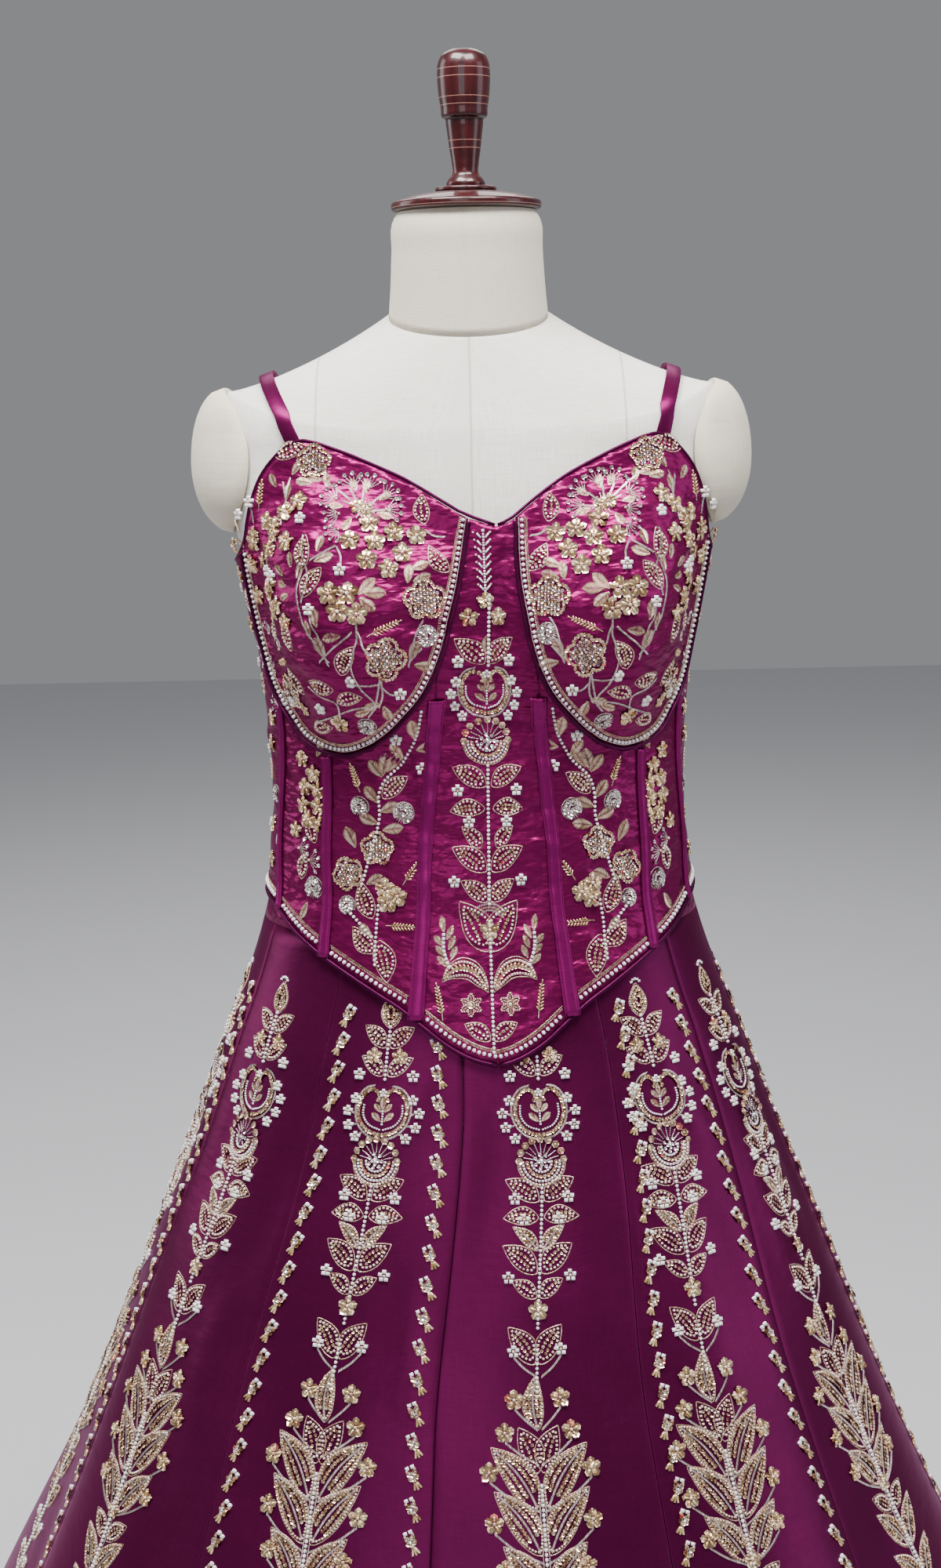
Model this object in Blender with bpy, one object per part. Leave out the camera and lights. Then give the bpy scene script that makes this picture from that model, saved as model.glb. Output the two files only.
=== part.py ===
"""A lehenga choli, a boned corset blouse and a twelve-panel flared skirt, standing on a limbless dress form.

Metres, +Z up. The front faces -Y and the wearer's left is at +X. The origin is on the floor, under the pole.
A place on the cloth is an angle round the body in degrees, 0 at the centre front and +90 at +X, and a height.
"""

import math

import bpy
import numpy as np
from mathutils import Vector
from mathutils.bvhtree import BVHTree

# Cloth, trims and the gaps between neighbours
CLOTH = 0.0018
SEAM_GAP = 0.0003
LIFT = 0.0016
PIPING_RADIUS = 0.0013
HEM_PIPING_RADIUS = 0.0017
CHANNEL_WIDTH = 0.0098
CHANNEL_DEPTH = 0.0010
CHANNEL_OVER_HEM = 0.0015
STRAP_WIDTH = 0.0115
STRAP_DEPTH = 0.0015

# How the garment sits on the form
CHOLI_TURN = 2.5
FIT_RADIUS = 0.150
SKIRT_TWIST = 4.0
TWIST_FROM, TWIST_TO = 0.64, 0.88
HEM_HEIGHT = 0.012
SKIRT_TOP = 0.985
WAISTBAND_TOP = 1.020

# The bust, worked out as two mounds on the plain section
BUST_ANGLE = 31.0
BUST_HEIGHT = 1.216
BUST_DEPTH = 0.034
BUST_SPREAD = 33.0
BUST_RISE, BUST_FALL = 0.128, 0.090
BUST_FULLNESS = 1.4
BUST_TURNOUT = 0.45
FORM_BUST_SHARE = 0.55

# Stand
BASE_RADIUS, BASE_HEIGHT = 0.190, 0.022
POLE_RADIUS = 0.014
FORM_BOTTOM = 0.790

# Body sections, one row for each height
SECTION_COLUMNS = ("height", "half_width", "front", "back", "power")
CHOLI_SECTIONS = (
    (0.885, 0.2150, 0.1570, 0.1660, 2.1),
    (0.900, 0.2095, 0.1525, 0.1615, 2.1),
    (0.940, 0.1935, 0.1405, 0.1475, 2.1),
    (0.983, 0.1795, 0.1300, 0.1350, 2.1),
    (1.010, 0.1720, 0.1245, 0.1270, 2.1),
    (1.050, 0.1680, 0.1195, 0.1180, 2.15),
    (1.100, 0.1650, 0.1160, 0.1110, 2.2),
    (1.140, 0.1665, 0.1165, 0.1100, 2.25),
    (1.180, 0.1705, 0.1175, 0.1130, 2.3),
    (1.230, 0.1790, 0.1190, 0.1190, 2.4),
    (1.275, 0.1880, 0.1180, 0.1250, 2.5),
    (1.310, 0.1960, 0.1130, 0.1270, 2.6),
    (1.370, 0.2000, 0.0980, 0.1230, 2.6),
)
SKIRT_SECTIONS = (
    (0.012, 0.6130, 0.6030, 0.6010, 2.0),
    (0.100, 0.5680, 0.5540, 0.5530, 2.0),
    (0.200, 0.5180, 0.4990, 0.4990, 2.0),
    (0.300, 0.4670, 0.4430, 0.4440, 2.0),
    (0.400, 0.4170, 0.3880, 0.3900, 2.0),
    (0.500, 0.3680, 0.3330, 0.3380, 2.0),
    (0.615, 0.3180, 0.2750, 0.2830, 2.0),
    (0.720, 0.2760, 0.2260, 0.2360, 2.0),
    (0.822, 0.2350, 0.1790, 0.1900, 2.05),
    (0.860, 0.2210, 0.1640, 0.1740, 2.05),
    (0.900, 0.2055, 0.1485, 0.1575, 2.1),
    (0.940, 0.1895, 0.1365, 0.1435, 2.1),
    (0.983, 0.1755, 0.1255, 0.1300, 2.1),
    (1.022, 0.1665, 0.1185, 0.1205, 2.1),
)
FORM_SECTIONS = (
    (0.790, 0.1640, 0.1220, 0.1300, 2.1),
    (0.800, 0.1840, 0.1380, 0.1470, 2.1),
    (0.840, 0.1970, 0.1480, 0.1570, 2.1),
    (0.880, 0.1980, 0.1440, 0.1530, 2.1),
    (0.920, 0.1890, 0.1350, 0.1430, 2.1),
    (0.960, 0.1745, 0.1240, 0.1300, 2.1),
    (1.000, 0.1635, 0.1160, 0.1195, 2.1),
    (1.050, 0.1620, 0.1135, 0.1120, 2.15),
    (1.100, 0.1600, 0.1105, 0.1055, 2.2),
    (1.140, 0.1615, 0.1110, 0.1045, 2.25),
    (1.180, 0.1655, 0.1120, 0.1075, 2.3),
    (1.230, 0.1735, 0.1135, 0.1135, 2.4),
    (1.275, 0.1820, 0.1125, 0.1190, 2.5),
    (1.310, 0.1880, 0.1070, 0.1205, 2.6),
    (1.370, 0.1890, 0.0920, 0.1150, 2.6),
)

# Seams of the choli on the +X side, mirrored for the other. Each row is one place on the cloth.
SEAM_COLUMNS = ("angle", "height")
CENTRE_SEAM = (
    (16.6, 0.931),
    (16.5, 0.970),
    (16.2, 1.010),
    (15.3, 1.055),
    (13.6, 1.100),
    (11.8, 1.140),
    (10.4, 1.170),
    (9.5, 1.196),
)
CUP_SEAM = (
    (2.75, 1.3065),
    (3.5, 1.278),
    (4.6, 1.253),
    (6.1, 1.2315),
    (7.6, 1.212),
    (9.5, 1.196),
    (14.0, 1.172),
    (17.5, 1.1605),
    (23.3, 1.145),
    (30.0, 1.134),
    (37.5, 1.128),
    (44.5, 1.1295),
    (54.0, 1.139),
    (59.5, 1.152),
    (66.0, 1.168),
    (69.3, 1.181),
    (71.5, 1.210),
    (72.0, 1.240),
    (71.0, 1.265),
    (69.5, 1.283),
)
MIDDLE_SEAM = (
    (43.4, 0.9725),
    (44.3, 0.992),
    (45.1, 1.015),
    (45.6, 1.040),
    (45.6, 1.065),
    (45.3, 1.090),
    (44.9, 1.110),
    (44.5, 1.1295),
)
SIDE_SEAM = (
    (68.2, 1.0005),
    (70.0, 1.022),
    (70.9, 1.045),
    (71.0, 1.070),
    (70.0, 1.095),
    (68.0, 1.120),
    (66.4, 1.145),
    (66.0, 1.168),
)
NECKLINE = (
    (0.0, 1.3005),
    (1.5, 1.3030),
    (2.75, 1.3065),
    (5.0, 1.3150),
    (8.5, 1.3260),
    (12.5, 1.3360),
    (17.5, 1.3445),
    (22.5, 1.3520),
    (28.0, 1.3585),
    (33.5, 1.3635),
    (36.5, 1.3645),
    (39.5, 1.3620),
    (46.0, 1.3510),
    (51.5, 1.3370),
    (56.0, 1.3210),
    (60.0, 1.3060),
    (63.5, 1.2945),
    (66.5, 1.2875),
    (69.5, 1.283),
    (77.0, 1.2755),
    (85.0, 1.2715),
    (92.5, 1.2695),
    (100.0, 1.2685),
    (180.0, 1.2640),
)
HEM = (
    (0.0, 0.8980),
    (4.0, 0.9025),
    (8.3, 0.9105),
    (14.0, 0.9245),
    (16.6, 0.9310),
    (20.0, 0.9385),
    (26.0, 0.9485),
    (33.0, 0.9590),
    (43.4, 0.9725),
    (54.0, 0.9850),
    (68.2, 1.0005),
    (80.0, 1.0065),
    (90.0, 1.0080),
    (100.0, 1.0075),
    (130.0, 1.0020),
    (180.0, 0.9950),
)
BACK_SEAM_ANGLE = 100.0
STRAP_ANGLE = 36.5
STRAP_BACK_ANGLE = 142.0
STRAP_TUCK = 0.006
STRAP_CLEAR, STRAP_SPRING = 0.0014, 0.0036
STRAP_TOP_X = 0.157
STRAP_HUB = 1.240

# Where the seams between the skirt's panels hang, from the one before the first panel
PANEL_SEAMS = (-8.0, 22.4, 49.6, 78.4, 108.2, 138.0, 167.8, 197.6, 227.4, 257.2, 287.2, 320.4, 352.0)
# Soft flutes of the flare. Columns: angle, half spread, depth at the hem, height where it starts
FLUTES = (
    (-8.0, 13.0, -0.013, 0.80),
    (8.0, 14.0, 0.011, 0.76),
    (24.0, 11.0, -0.015, 0.84),
    (40.0, 14.0, 0.014, 0.80),
    (55.0, 11.0, -0.012, 0.78),
    (72.0, 14.0, 0.016, 0.86),
    (91.0, 12.0, -0.014, 0.84),
    (110.0, 15.0, 0.015, 0.80),
    (128.0, 12.0, -0.015, 0.84),
    (147.0, 15.0, 0.014, 0.82),
    (166.0, 12.0, -0.013, 0.80),
    (186.0, 15.0, 0.017, 0.86),
    (205.0, 12.0, -0.015, 0.82),
    (223.0, 14.0, 0.013, 0.80),
    (241.0, 12.0, -0.016, 0.84),
    (260.0, 14.0, 0.015, 0.84),
    (279.0, 12.0, -0.013, 0.86),
    (296.0, 13.0, 0.012, 0.80),
    (313.0, 12.0, -0.015, 0.84),
    (333.0, 15.0, 0.013, 0.78),
)
SKIRT_ROWS = (0.012, 0.095, 0.195, 0.300, 0.410, 0.520, 0.635, 0.740, 0.830, 0.900, 0.945, 0.985)
PANEL_COLUMNS = 6

# Turned wood. Columns: radius, height above the piece's underside
DISC_PROFILE = (
    (0.0545, 0.0),
    (0.0575, 0.0012),
    (0.0582, 0.0035),
    (0.0578, 0.0062),
    (0.0540, 0.0080),
    (0.0440, 0.0112),
    (0.0300, 0.0136),
)
FINIAL_PROFILE = (
    (0.0215, 0.0),
    (0.0236, 0.0012),
    (0.0236, 0.0030),
    (0.0145, 0.0044),
    (0.0150, 0.0062),
    (0.0136, 0.0094),
    (0.0102, 0.0138),
    (0.0105, 0.0220),
    (0.0120, 0.0320),
    (0.0130, 0.0400),
    (0.0143, 0.0500),
    (0.0152, 0.0550),
    (0.0167, 0.0556),
    (0.0181, 0.0630),
    (0.0193, 0.0700),
    (0.0201, 0.0790),
    (0.0204, 0.0880),
    (0.0196, 0.0960),
    (0.0166, 0.1020),
    (0.0110, 0.1055),
)
NECK_TOP = 1.5355
# Columns: share of the height, half width, front, back
NECK_PROFILE = (
    (0.00, 0.0620, 0.0600, 0.0660),
    (0.30, 0.0600, 0.0580, 0.0630),
    (0.65, 0.0585, 0.0565, 0.0610),
    (0.90, 0.0575, 0.0555, 0.0600),
    (1.00, 0.0535, 0.0515, 0.0560),
)
NECK_SIDE, NECK_TILT = 1.4560, 0.28
CHEST_HEIGHT = 1.370
SHOULDER_LIFT = 0.032
CHEST_STEPS = 6
CAP_CENTRE, CAP_HALF_HEIGHT, CAP_SPREAD = 1.349, 0.056, 31.0
CAP_DEPTH, CAP_EDGE, CAP_LIFT = 0.0270, 0.0012, 0.0022

COLOURS = {
    "satin": ((0.19, 0.012, 0.10), 0.38, 0.0),
    "piping": ((0.07, 0.004, 0.035), 0.45, 0.0),
    "canvas": ((0.72, 0.69, 0.62), 0.90, 0.0),
    "mahogany": ((0.055, 0.006, 0.008), 0.18, 0.0),
    "pole_steel": ((0.35, 0.35, 0.36), 0.30, 0.9),
}


def smooth(rows, at, column):
    """Reads one column of a table at the places given, on a smooth curve through its rows."""
    table = np.asarray(rows, float)
    x, y = table[:, 0], table[:, column]
    at = np.clip(np.asarray(at, float), x[0], x[-1])
    step = np.diff(x)
    slope = np.diff(y) / step
    tangent = np.concatenate([slope[:1], np.zeros(len(x) - 2), slope[-1:]])
    tangent[1:-1] = (slope[:-1] * step[1:] + slope[1:] * step[:-1]) / (step[1:] + step[:-1])
    i = np.clip(np.searchsorted(x, at, side="right") - 1, 0, len(x) - 2)
    s = (at - x[i]) / step[i]
    start = (2 * s**3 - 3 * s**2 + 1) * y[i] + (s**3 - 2 * s**2 + s) * step[i] * tangent[i]
    end = (3 * s**2 - 2 * s**3) * y[i + 1] + (s**3 - s**2) * step[i] * tangent[i + 1]
    return start + end


def section(rows, angle, height):
    """The plain body section: a rounded oval with its own depth in front and behind."""
    half, front, back, power = (smooth(rows, height, SECTION_COLUMNS.index(c)) for c in SECTION_COLUMNS[1:])
    turn = np.radians(angle)
    sine, cosine = np.sin(turn), np.cos(turn)
    depth = np.where(cosine > 0, front, back)
    x = half * np.sign(sine) * np.abs(sine) ** (2 / power)
    y = -depth * np.sign(cosine) * np.abs(cosine) ** (2 / power)
    return np.stack([x, y, np.broadcast_to(height, x.shape)], -1)


def bust(angle, height):
    """How far the bust stands forward of the plain section, as a vector."""
    across = (np.abs(angle) - BUST_ANGLE) / BUST_SPREAD
    rise = height - BUST_HEIGHT
    along = np.where(rise > 0, rise / BUST_RISE, rise / BUST_FALL)
    share = np.clip(1 - across**2 - along**2, 0, 1) ** BUST_FULLNESS
    out = np.radians(BUST_TURNOUT * angle)
    return (BUST_DEPTH * share)[..., None] * np.stack([np.sin(out), -np.cos(out), 0 * out], -1)


def choli_form(angle, height):
    place = section(CHOLI_SECTIONS, angle + CHOLI_TURN, height)
    return place + bust(angle, height)


def torso_form(angle, height):
    place = section(FORM_SECTIONS, angle, height)
    return place + FORM_BUST_SHARE * bust(wrap(angle - CHOLI_TURN), height)


def skirt_form(angle, height):
    """The flared skirt: the plain section turned a little towards the waist, with its flutes."""
    up = np.clip((height - TWIST_FROM) / (TWIST_TO - TWIST_FROM), 0, 1)
    turned = angle + SKIRT_TWIST * up * up * (3 - 2 * up)
    place = section(SKIRT_SECTIONS, turned, height)
    push = np.zeros(np.broadcast(angle, height).shape)
    for middle, spread, depth, start in FLUTES:
        near = np.clip(1 - (wrap(angle - middle) / spread) ** 2, 0, 1) ** 2
        fall = np.clip((start - height) / (start - HEM_HEIGHT), 0, 1)
        push = push + depth * near * fall**1.3
    flat = place[..., :2]
    place[..., :2] = flat * (1 + push / np.linalg.norm(flat, axis=-1))[..., None]
    return place


def wrap(angle):
    return (np.asarray(angle, float) + 180) % 360 - 180


def moved_out(form, angle, height, out):
    """The point of a form at this angle and height, moved out along the surface's own normal."""
    angle, height = np.broadcast_arrays(np.asarray(angle, float), np.asarray(height, float))
    turn, rise = 0.25, 0.0015
    across = form(angle + turn, height) - form(angle - turn, height)
    along = form(angle, height + rise) - form(angle, height - rise)
    normal = np.cross(across, along)
    normal /= np.linalg.norm(normal, axis=-1)[..., None]
    return form(angle, height) + normal * np.asarray(out)[..., None]


def material(name):
    if name in bpy.data.materials:
        return bpy.data.materials[name]
    colour, roughness, metallic = COLOURS[name]
    made = bpy.data.materials.new(name)
    made.use_nodes = True
    shader = made.node_tree.nodes["Principled BSDF"]
    shader.inputs["Base Color"].default_value = (*colour, 1)
    shader.inputs["Roughness"].default_value = roughness
    shader.inputs["Metallic"].default_value = metallic
    return made


def add_object(name, points, faces, finish):
    mesh = bpy.data.meshes.new(name)
    mesh.from_pydata([tuple(p) for p in np.asarray(points)], [], faces)
    mesh.materials.append(material(finish).copy())
    mesh.shade_smooth()
    mesh.set_sharp_from_angle(angle=math.radians(40))
    made = bpy.data.objects.new(name, mesh)
    bpy.context.scene.collection.objects.link(made)
    return made


def wall(name, outer, inner, finish, ring=False):
    """A closed wall between two grids of points. The grids run round the body, then up. A ring has no side ends."""
    rows, columns = outer.shape[:2]
    points = np.concatenate([outer.reshape(-1, 3), inner.reshape(-1, 3)])
    back = rows * columns

    def at(i, j, side=0):
        return side * back + i * columns + j % columns

    faces = []
    for i in range(rows - 1):
        for j in range(columns if ring else columns - 1):
            faces.append((at(i, j), at(i, j + 1), at(i + 1, j + 1), at(i + 1, j)))
            faces.append((at(i, j, 1), at(i + 1, j, 1), at(i + 1, j + 1, 1), at(i, j + 1, 1)))
        if not ring:
            last = columns - 1
            faces.append((at(i, 0), at(i + 1, 0), at(i + 1, 0, 1), at(i, 0, 1)))
            faces.append((at(i, last), at(i, last, 1), at(i + 1, last, 1), at(i + 1, last)))
    for j in range(columns if ring else columns - 1):
        top = rows - 1
        faces.append((at(0, j), at(0, j, 1), at(0, j + 1, 1), at(0, j + 1)))
        faces.append((at(top, j), at(top, j + 1), at(top, j + 1, 1), at(top, j, 1)))
    return add_object(name, points, faces, finish)


def lofted(name, rings, finish):
    """A closed solid through rings of points, one above the other, with flat ends."""
    rings = np.asarray(rings)
    count, around = rings.shape[:2]
    faces = [
        (i * around + j, i * around + (j + 1) % around, (i + 1) * around + (j + 1) % around, (i + 1) * around + j)
        for i in range(count - 1)
        for j in range(around)
    ]
    faces.append(tuple(range(around))[::-1])
    faces.append(tuple((count - 1) * around + j for j in range(around)))
    return add_object(name, rings.reshape(-1, 3), faces, finish)


def turned(name, profile, bottom, finish, around=24):
    angles = np.radians(np.arange(around) * 360 / around)
    rings = [
        [(radius * math.sin(a), -radius * math.cos(a), bottom + height) for a in angles]
        for radius, height in profile
    ]
    return lofted(name, rings, finish)


def tube(name, path, radius, finish, sides=5):
    """A cord of round section along a path of points, with flat ends."""
    path = np.asarray(path)
    along = np.gradient(path, axis=0)
    along /= np.linalg.norm(along, axis=1)[:, None]
    outward = path * (1, 1, 0)
    side = np.cross(along, outward)
    side /= np.linalg.norm(side, axis=1)[:, None]
    up = np.cross(along, side)
    angles = np.radians(np.arange(sides) * 360 / sides)
    rings = [
        [p + radius * (math.cos(a) * s + math.sin(a) * u) for a in angles]
        for p, s, u in zip(path, side, up)
    ]
    return lofted(name, rings, finish)


def mirrored(seam):
    return np.asarray(seam, float) * (-1, 1)


def between(start, end, steps):
    return np.linspace(start, end, steps + 1)


def refined(seam):
    """A seam with one more place halfway between each pair."""
    seam = np.asarray(seam, float)
    finer = np.empty((2 * len(seam) - 1, 2))
    finer[::2] = seam
    finer[1::2] = (seam[1:] + seam[:-1]) / 2
    return finer


def height_on(line, angle):
    """The height of an edge, such as the hem, at these angles on either side."""
    return smooth(line, np.abs(wrap(angle)), SEAM_COLUMNS.index("height"))


def edge_points(line, angles):
    angles = np.asarray(angles, float)
    return np.stack([angles, height_on(line, angles)], -1)


def patch(bottom, top, left, right):
    """A grid of places that meets four seams, blended between them."""
    bottom, top, left, right = (np.asarray(seam, float) for seam in (bottom, top, left, right))
    u = np.linspace(0, 1, len(bottom))[None, :, None]
    v = np.linspace(0, 1, len(left))[:, None, None]
    across = (1 - u) * left[:, None] + u * right[:, None]
    along = (1 - v) * bottom[None] + v * top[None]
    corners = (1 - u) * (1 - v) * bottom[0] + u * (1 - v) * bottom[-1] + (1 - u) * v * top[0] + u * v * top[-1]
    return across + along - corners


def beside(line, distance, closed=False):
    """A line of places moved square to itself over the cloth, upwards where its angle grows."""
    metres = np.array([FIT_RADIUS * math.pi / 180, 1])
    flat = line * metres
    if closed:
        along = np.roll(flat, -1, axis=0) - np.roll(flat, 1, axis=0)
    else:
        along = np.gradient(flat, axis=0)
    across = np.stack([-along[:, 1], along[:, 0]], -1)
    across /= np.linalg.norm(across, axis=1)[:, None]
    return (flat + across * np.asarray(distance)[..., None]) / metres


def drawn_in(line, inside, closed=False):
    """A seam line moved in by half a seam gap, towards a line of places inside the piece."""
    metres = np.array([FIT_RADIUS * math.pi / 180, 1])
    across = (beside(line, 1.0, closed) - line) * metres
    inward = np.sign(np.sum(across * (inside - line) * metres, axis=1))
    return beside(line, inward * SEAM_GAP / 2, closed)


def inset(grid):
    """Draws a grid of places in from all four of its seams."""
    grid = grid.copy()
    moved = np.zeros_like(grid)
    moved[0] += drawn_in(grid[0], grid[1]) - grid[0]
    moved[-1] += drawn_in(grid[-1], grid[-2]) - grid[-1]
    moved[:, 0] += drawn_in(grid[:, 0], grid[:, 1]) - grid[:, 0]
    moved[:, -1] += drawn_in(grid[:, -1], grid[:, -2]) - grid[:, -1]
    return grid + moved


def choli_panel(name, grid):
    grid = inset(grid)
    outer = moved_out(choli_form, grid[..., 0], grid[..., 1], 0.0)
    inner = moved_out(choli_form, grid[..., 0], grid[..., 1], -CLOTH)
    return wall(name, outer, inner, "satin")


def make_front_panels():
    centre, middle, side = (refined(seam) for seam in (CENTRE_SEAM, MIDDLE_SEAM, SIDE_SEAM))
    cup = np.asarray(CUP_SEAM)
    right_edge = np.concatenate([centre, cup[4::-1]])
    hem = edge_points(HEM, between(-centre[0, 0], centre[0, 0], 6))
    neck = edge_points(NECKLINE, between(-cup[0, 0], cup[0, 0], 6))
    choli_panel("front_centre", patch(hem, neck, mirrored(right_edge), right_edge))

    front_hem = edge_points(HEM, between(centre[0, 0], middle[0, 0], 6))
    front_side = patch(front_hem, cup[5:12], centre, middle)
    side_hem = edge_points(HEM, between(middle[0, 0], side[0, 0], 3))
    side_front = patch(side_hem, cup[11:15], middle, side)

    underarm = np.concatenate([side, cup[15:]])
    back_line = back_seam(len(underarm))
    under_hem = edge_points(HEM, between(side[0, 0], BACK_SEAM_ANGLE, 4))
    under_top = edge_points(NECKLINE, between(cup[-1, 0], BACK_SEAM_ANGLE, 4))
    side_panel = patch(under_hem, under_top, underarm, back_line)

    centre_back = back_line.copy()
    centre_back[:, 0] = 180.0
    centre_back[:, 1] = between(HEM[-1][1], NECKLINE[-1][1], len(underarm) - 1)
    back_angles = between(BACK_SEAM_ANGLE, 180.0, 9)
    back = patch(edge_points(HEM, back_angles), edge_points(NECKLINE, back_angles), back_line, centre_back)

    for name, grid in (
        ("front_side", front_side),
        ("side_front", side_front),
        ("side", side_panel),
        ("back", back),
    ):
        choli_panel(name + "_left", grid[:, ::-1] * (-1, 1))
        choli_panel(name + "_right", grid)


def back_seam(count):
    low, high = height_on(HEM, BACK_SEAM_ANGLE), height_on(NECKLINE, BACK_SEAM_ANGLE)
    return np.stack([np.full(count, BACK_SEAM_ANGLE), between(low, high, count - 1)], -1)


def cup_outline():
    """The cup's seam, then its top edge, as one closed line of places on the +X side."""
    top = [row for row in NECKLINE if CUP_SEAM[0][0] < row[0] < CUP_SEAM[-1][0]]
    return np.asarray(list(CUP_SEAM) + top[::-1], float)


def make_cup(name, side):
    """A cup is a fan of rings round the bust point, so that its wall is evenly shaped."""
    outline = cup_outline()
    middle = np.array([BUST_ANGLE + 3, BUST_HEIGHT + 0.018])
    outline = drawn_in(outline, np.broadcast_to(middle, outline.shape), closed=True)
    shares = (1.0, 0.86, 0.66, 0.44, 0.22)
    places = np.concatenate([middle + share * (outline - middle) for share in shares] + [middle[None]])
    places = places * (side, 1)
    outer = moved_out(choli_form, places[:, 0], places[:, 1], 0.0)
    inner = moved_out(choli_form, places[:, 0], places[:, 1], -CLOTH)
    around, total = len(outline), len(places)
    faces = []
    for j in range(around):
        k = (j + 1) % around
        for ring in range(len(shares) - 1):
            a, b = ring * around, (ring + 1) * around
            faces.append((a + j, a + k, b + k, b + j))
        last = (len(shares) - 1) * around
        faces.append((last + j, last + k, total - 1))
    outside = [face if side > 0 else face[::-1] for face in faces]
    inside = [tuple(total + p for p in face[::-1]) for face in outside]
    rim = [(j, total + j, total + (j + 1) % around, (j + 1) % around) for j in range(around)]
    rim = [face if side > 0 else face[::-1] for face in rim]
    return add_object(name, np.concatenate([outer, inner]), outside + inside + rim, "satin")


def make_pipings():
    """Satin piping on the top edge, on the cup seams and on the hem, each side in one length."""
    top = edge_points(NECKLINE, np.concatenate([[r[0] for r in NECKLINE[:-1]], between(109, 180, 8)]))
    hem = edge_points(HEM, np.concatenate([[r[0] for r in HEM[:-2]], between(110, 180, 7)]))
    for suffix, side in (("_left", -1), ("_right", 1)):
        for name, line, radius, shift in (
            ("top_piping", top, PIPING_RADIUS, 1),
            ("hem_piping", hem, HEM_PIPING_RADIUS, -1),
        ):
            places = beside(line, shift * (radius + 3 * SEAM_GAP))
            places[0, 0] = math.degrees(radius / FIT_RADIUS)
            places[-1, 0] = 180 - math.degrees(SEAM_GAP / FIT_RADIUS)
            places *= (side, 1)
            path = moved_out(choli_form, places[:, 0], places[:, 1], radius - CLOTH)
            tube(name + suffix, path, radius, "piping", sides=6)
        seam = np.asarray(CUP_SEAM) * (side, 1)
        seam[0, 1] -= 2 * PIPING_RADIUS
        seam[-1, 1] -= 2 * PIPING_RADIUS
        path = moved_out(choli_form, seam[:, 0], seam[:, 1], PIPING_RADIUS + LIFT)
        tube("cup_piping" + suffix, path, PIPING_RADIUS, "piping")


def make_channel(name, seam, side, short_of_cup):
    """A satin channel for a bone: a flat strip laid on its seam, from the hem piping to the cup piping."""
    seam = refined(seam)
    top = seam[-1, 1] - short_of_cup
    end = (np.interp(top, seam[:, 1], seam[:, 0]), top)
    seam = np.concatenate([seam[seam[:, 1] < top - CLOTH], [end]]) * (side, 1)
    seam[0, 1] -= CHANNEL_OVER_HEM
    half_turn = math.degrees(CHANNEL_WIDTH / 2 / FIT_RADIUS)
    places = np.stack([seam - (half_turn, 0), seam, seam + (half_turn, 0)], axis=1)
    outer = moved_out(choli_form, places[..., 0], places[..., 1], LIFT + CHANNEL_DEPTH)
    inner = moved_out(choli_form, places[..., 0], places[..., 1], LIFT)
    return wall(name, outer, inner, "satin")


def make_channels():
    for suffix, side in (("_left", -1), ("_right", 1)):
        for name, seam, short_of_cup in (
            ("channel_centre", CENTRE_SEAM, 0.0200),
            ("channel_middle", MIDDLE_SEAM, 0.0032),
            ("channel_side", SIDE_SEAM, 0.0062),
        ):
            make_channel(name + suffix, seam, side, short_of_cup)


def make_skirt():
    heights = np.asarray(SKIRT_ROWS)[:, None]
    for k, (before, after) in enumerate(zip(PANEL_SEAMS[:-1], PANEL_SEAMS[1:])):
        middle = np.full_like(heights, (before + after) / 2)
        radius = np.linalg.norm(skirt_form(middle, heights)[..., :2], axis=-1)
        gap = np.degrees(SEAM_GAP / 2 / radius)
        share = between(0, 1, PANEL_COLUMNS)[None]
        angles = before + gap + (after - before - 2 * gap) * share
        outer = moved_out(skirt_form, angles, heights, 0.0)
        inner = moved_out(skirt_form, angles, heights, -CLOTH)
        wall(f"kali_{k + 1:02d}", outer, inner, "satin")


def make_waistband():
    """Two flat lengths joined at the side seams, hidden under the choli but for their lower edge."""
    heights = np.array([[SKIRT_TOP + SEAM_GAP], [WAISTBAND_TOP]])
    end = math.degrees(SEAM_GAP / 2 / FIT_RADIUS)
    for name, start in (("waistband_front", -90.0), ("waistband_back", 90.0)):
        angles = between(start + end, start + 180 - end, 26)[None]
        outer = moved_out(skirt_form, angles, heights, 0.0)
        inner = moved_out(skirt_form, angles, heights, -CLOTH)
        wall(name, outer, inner, "satin")


def neck_edge(angle):
    """The flat, tilted seam where the neck block meets the shoulders."""
    _, half, front, back = NECK_PROFILE[0]
    turn = np.radians(angle)
    y = -np.where(np.cos(turn) > 0, front, back) * np.cos(turn)
    return np.stack([half * np.sin(turn), y, NECK_SIDE + NECK_TILT * y], -1)


def torso_rings(around):
    """Level rings up to the chest, then rings that close in over the shoulders to the neck seam."""
    angles = np.arange(around) * 360 / around
    rows = np.concatenate([[row[0] for row in FORM_SECTIONS], [0.818, 1.205, 1.255, 1.342]])
    rings = [torso_form(angles, np.full(around, h)) for h in np.sort(rows)]
    side = np.abs(np.sin(np.radians(angles))) ** 3
    chest = section(FORM_SECTIONS, angles, np.full(around, CHEST_HEIGHT))
    chest[:, 2] += SHOULDER_LIFT * side
    rings[-1] = chest
    neck = neck_edge(angles)
    for share in between(0, 1, CHEST_STEPS)[1:]:
        rise = share ** (1 + 0.35 * side)
        ring = chest + (neck - chest) * share
        ring[:, 2] = chest[:, 2] + (neck[:, 2] - chest[:, 2]) * rise
        rings.append(ring)
    return rings


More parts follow.
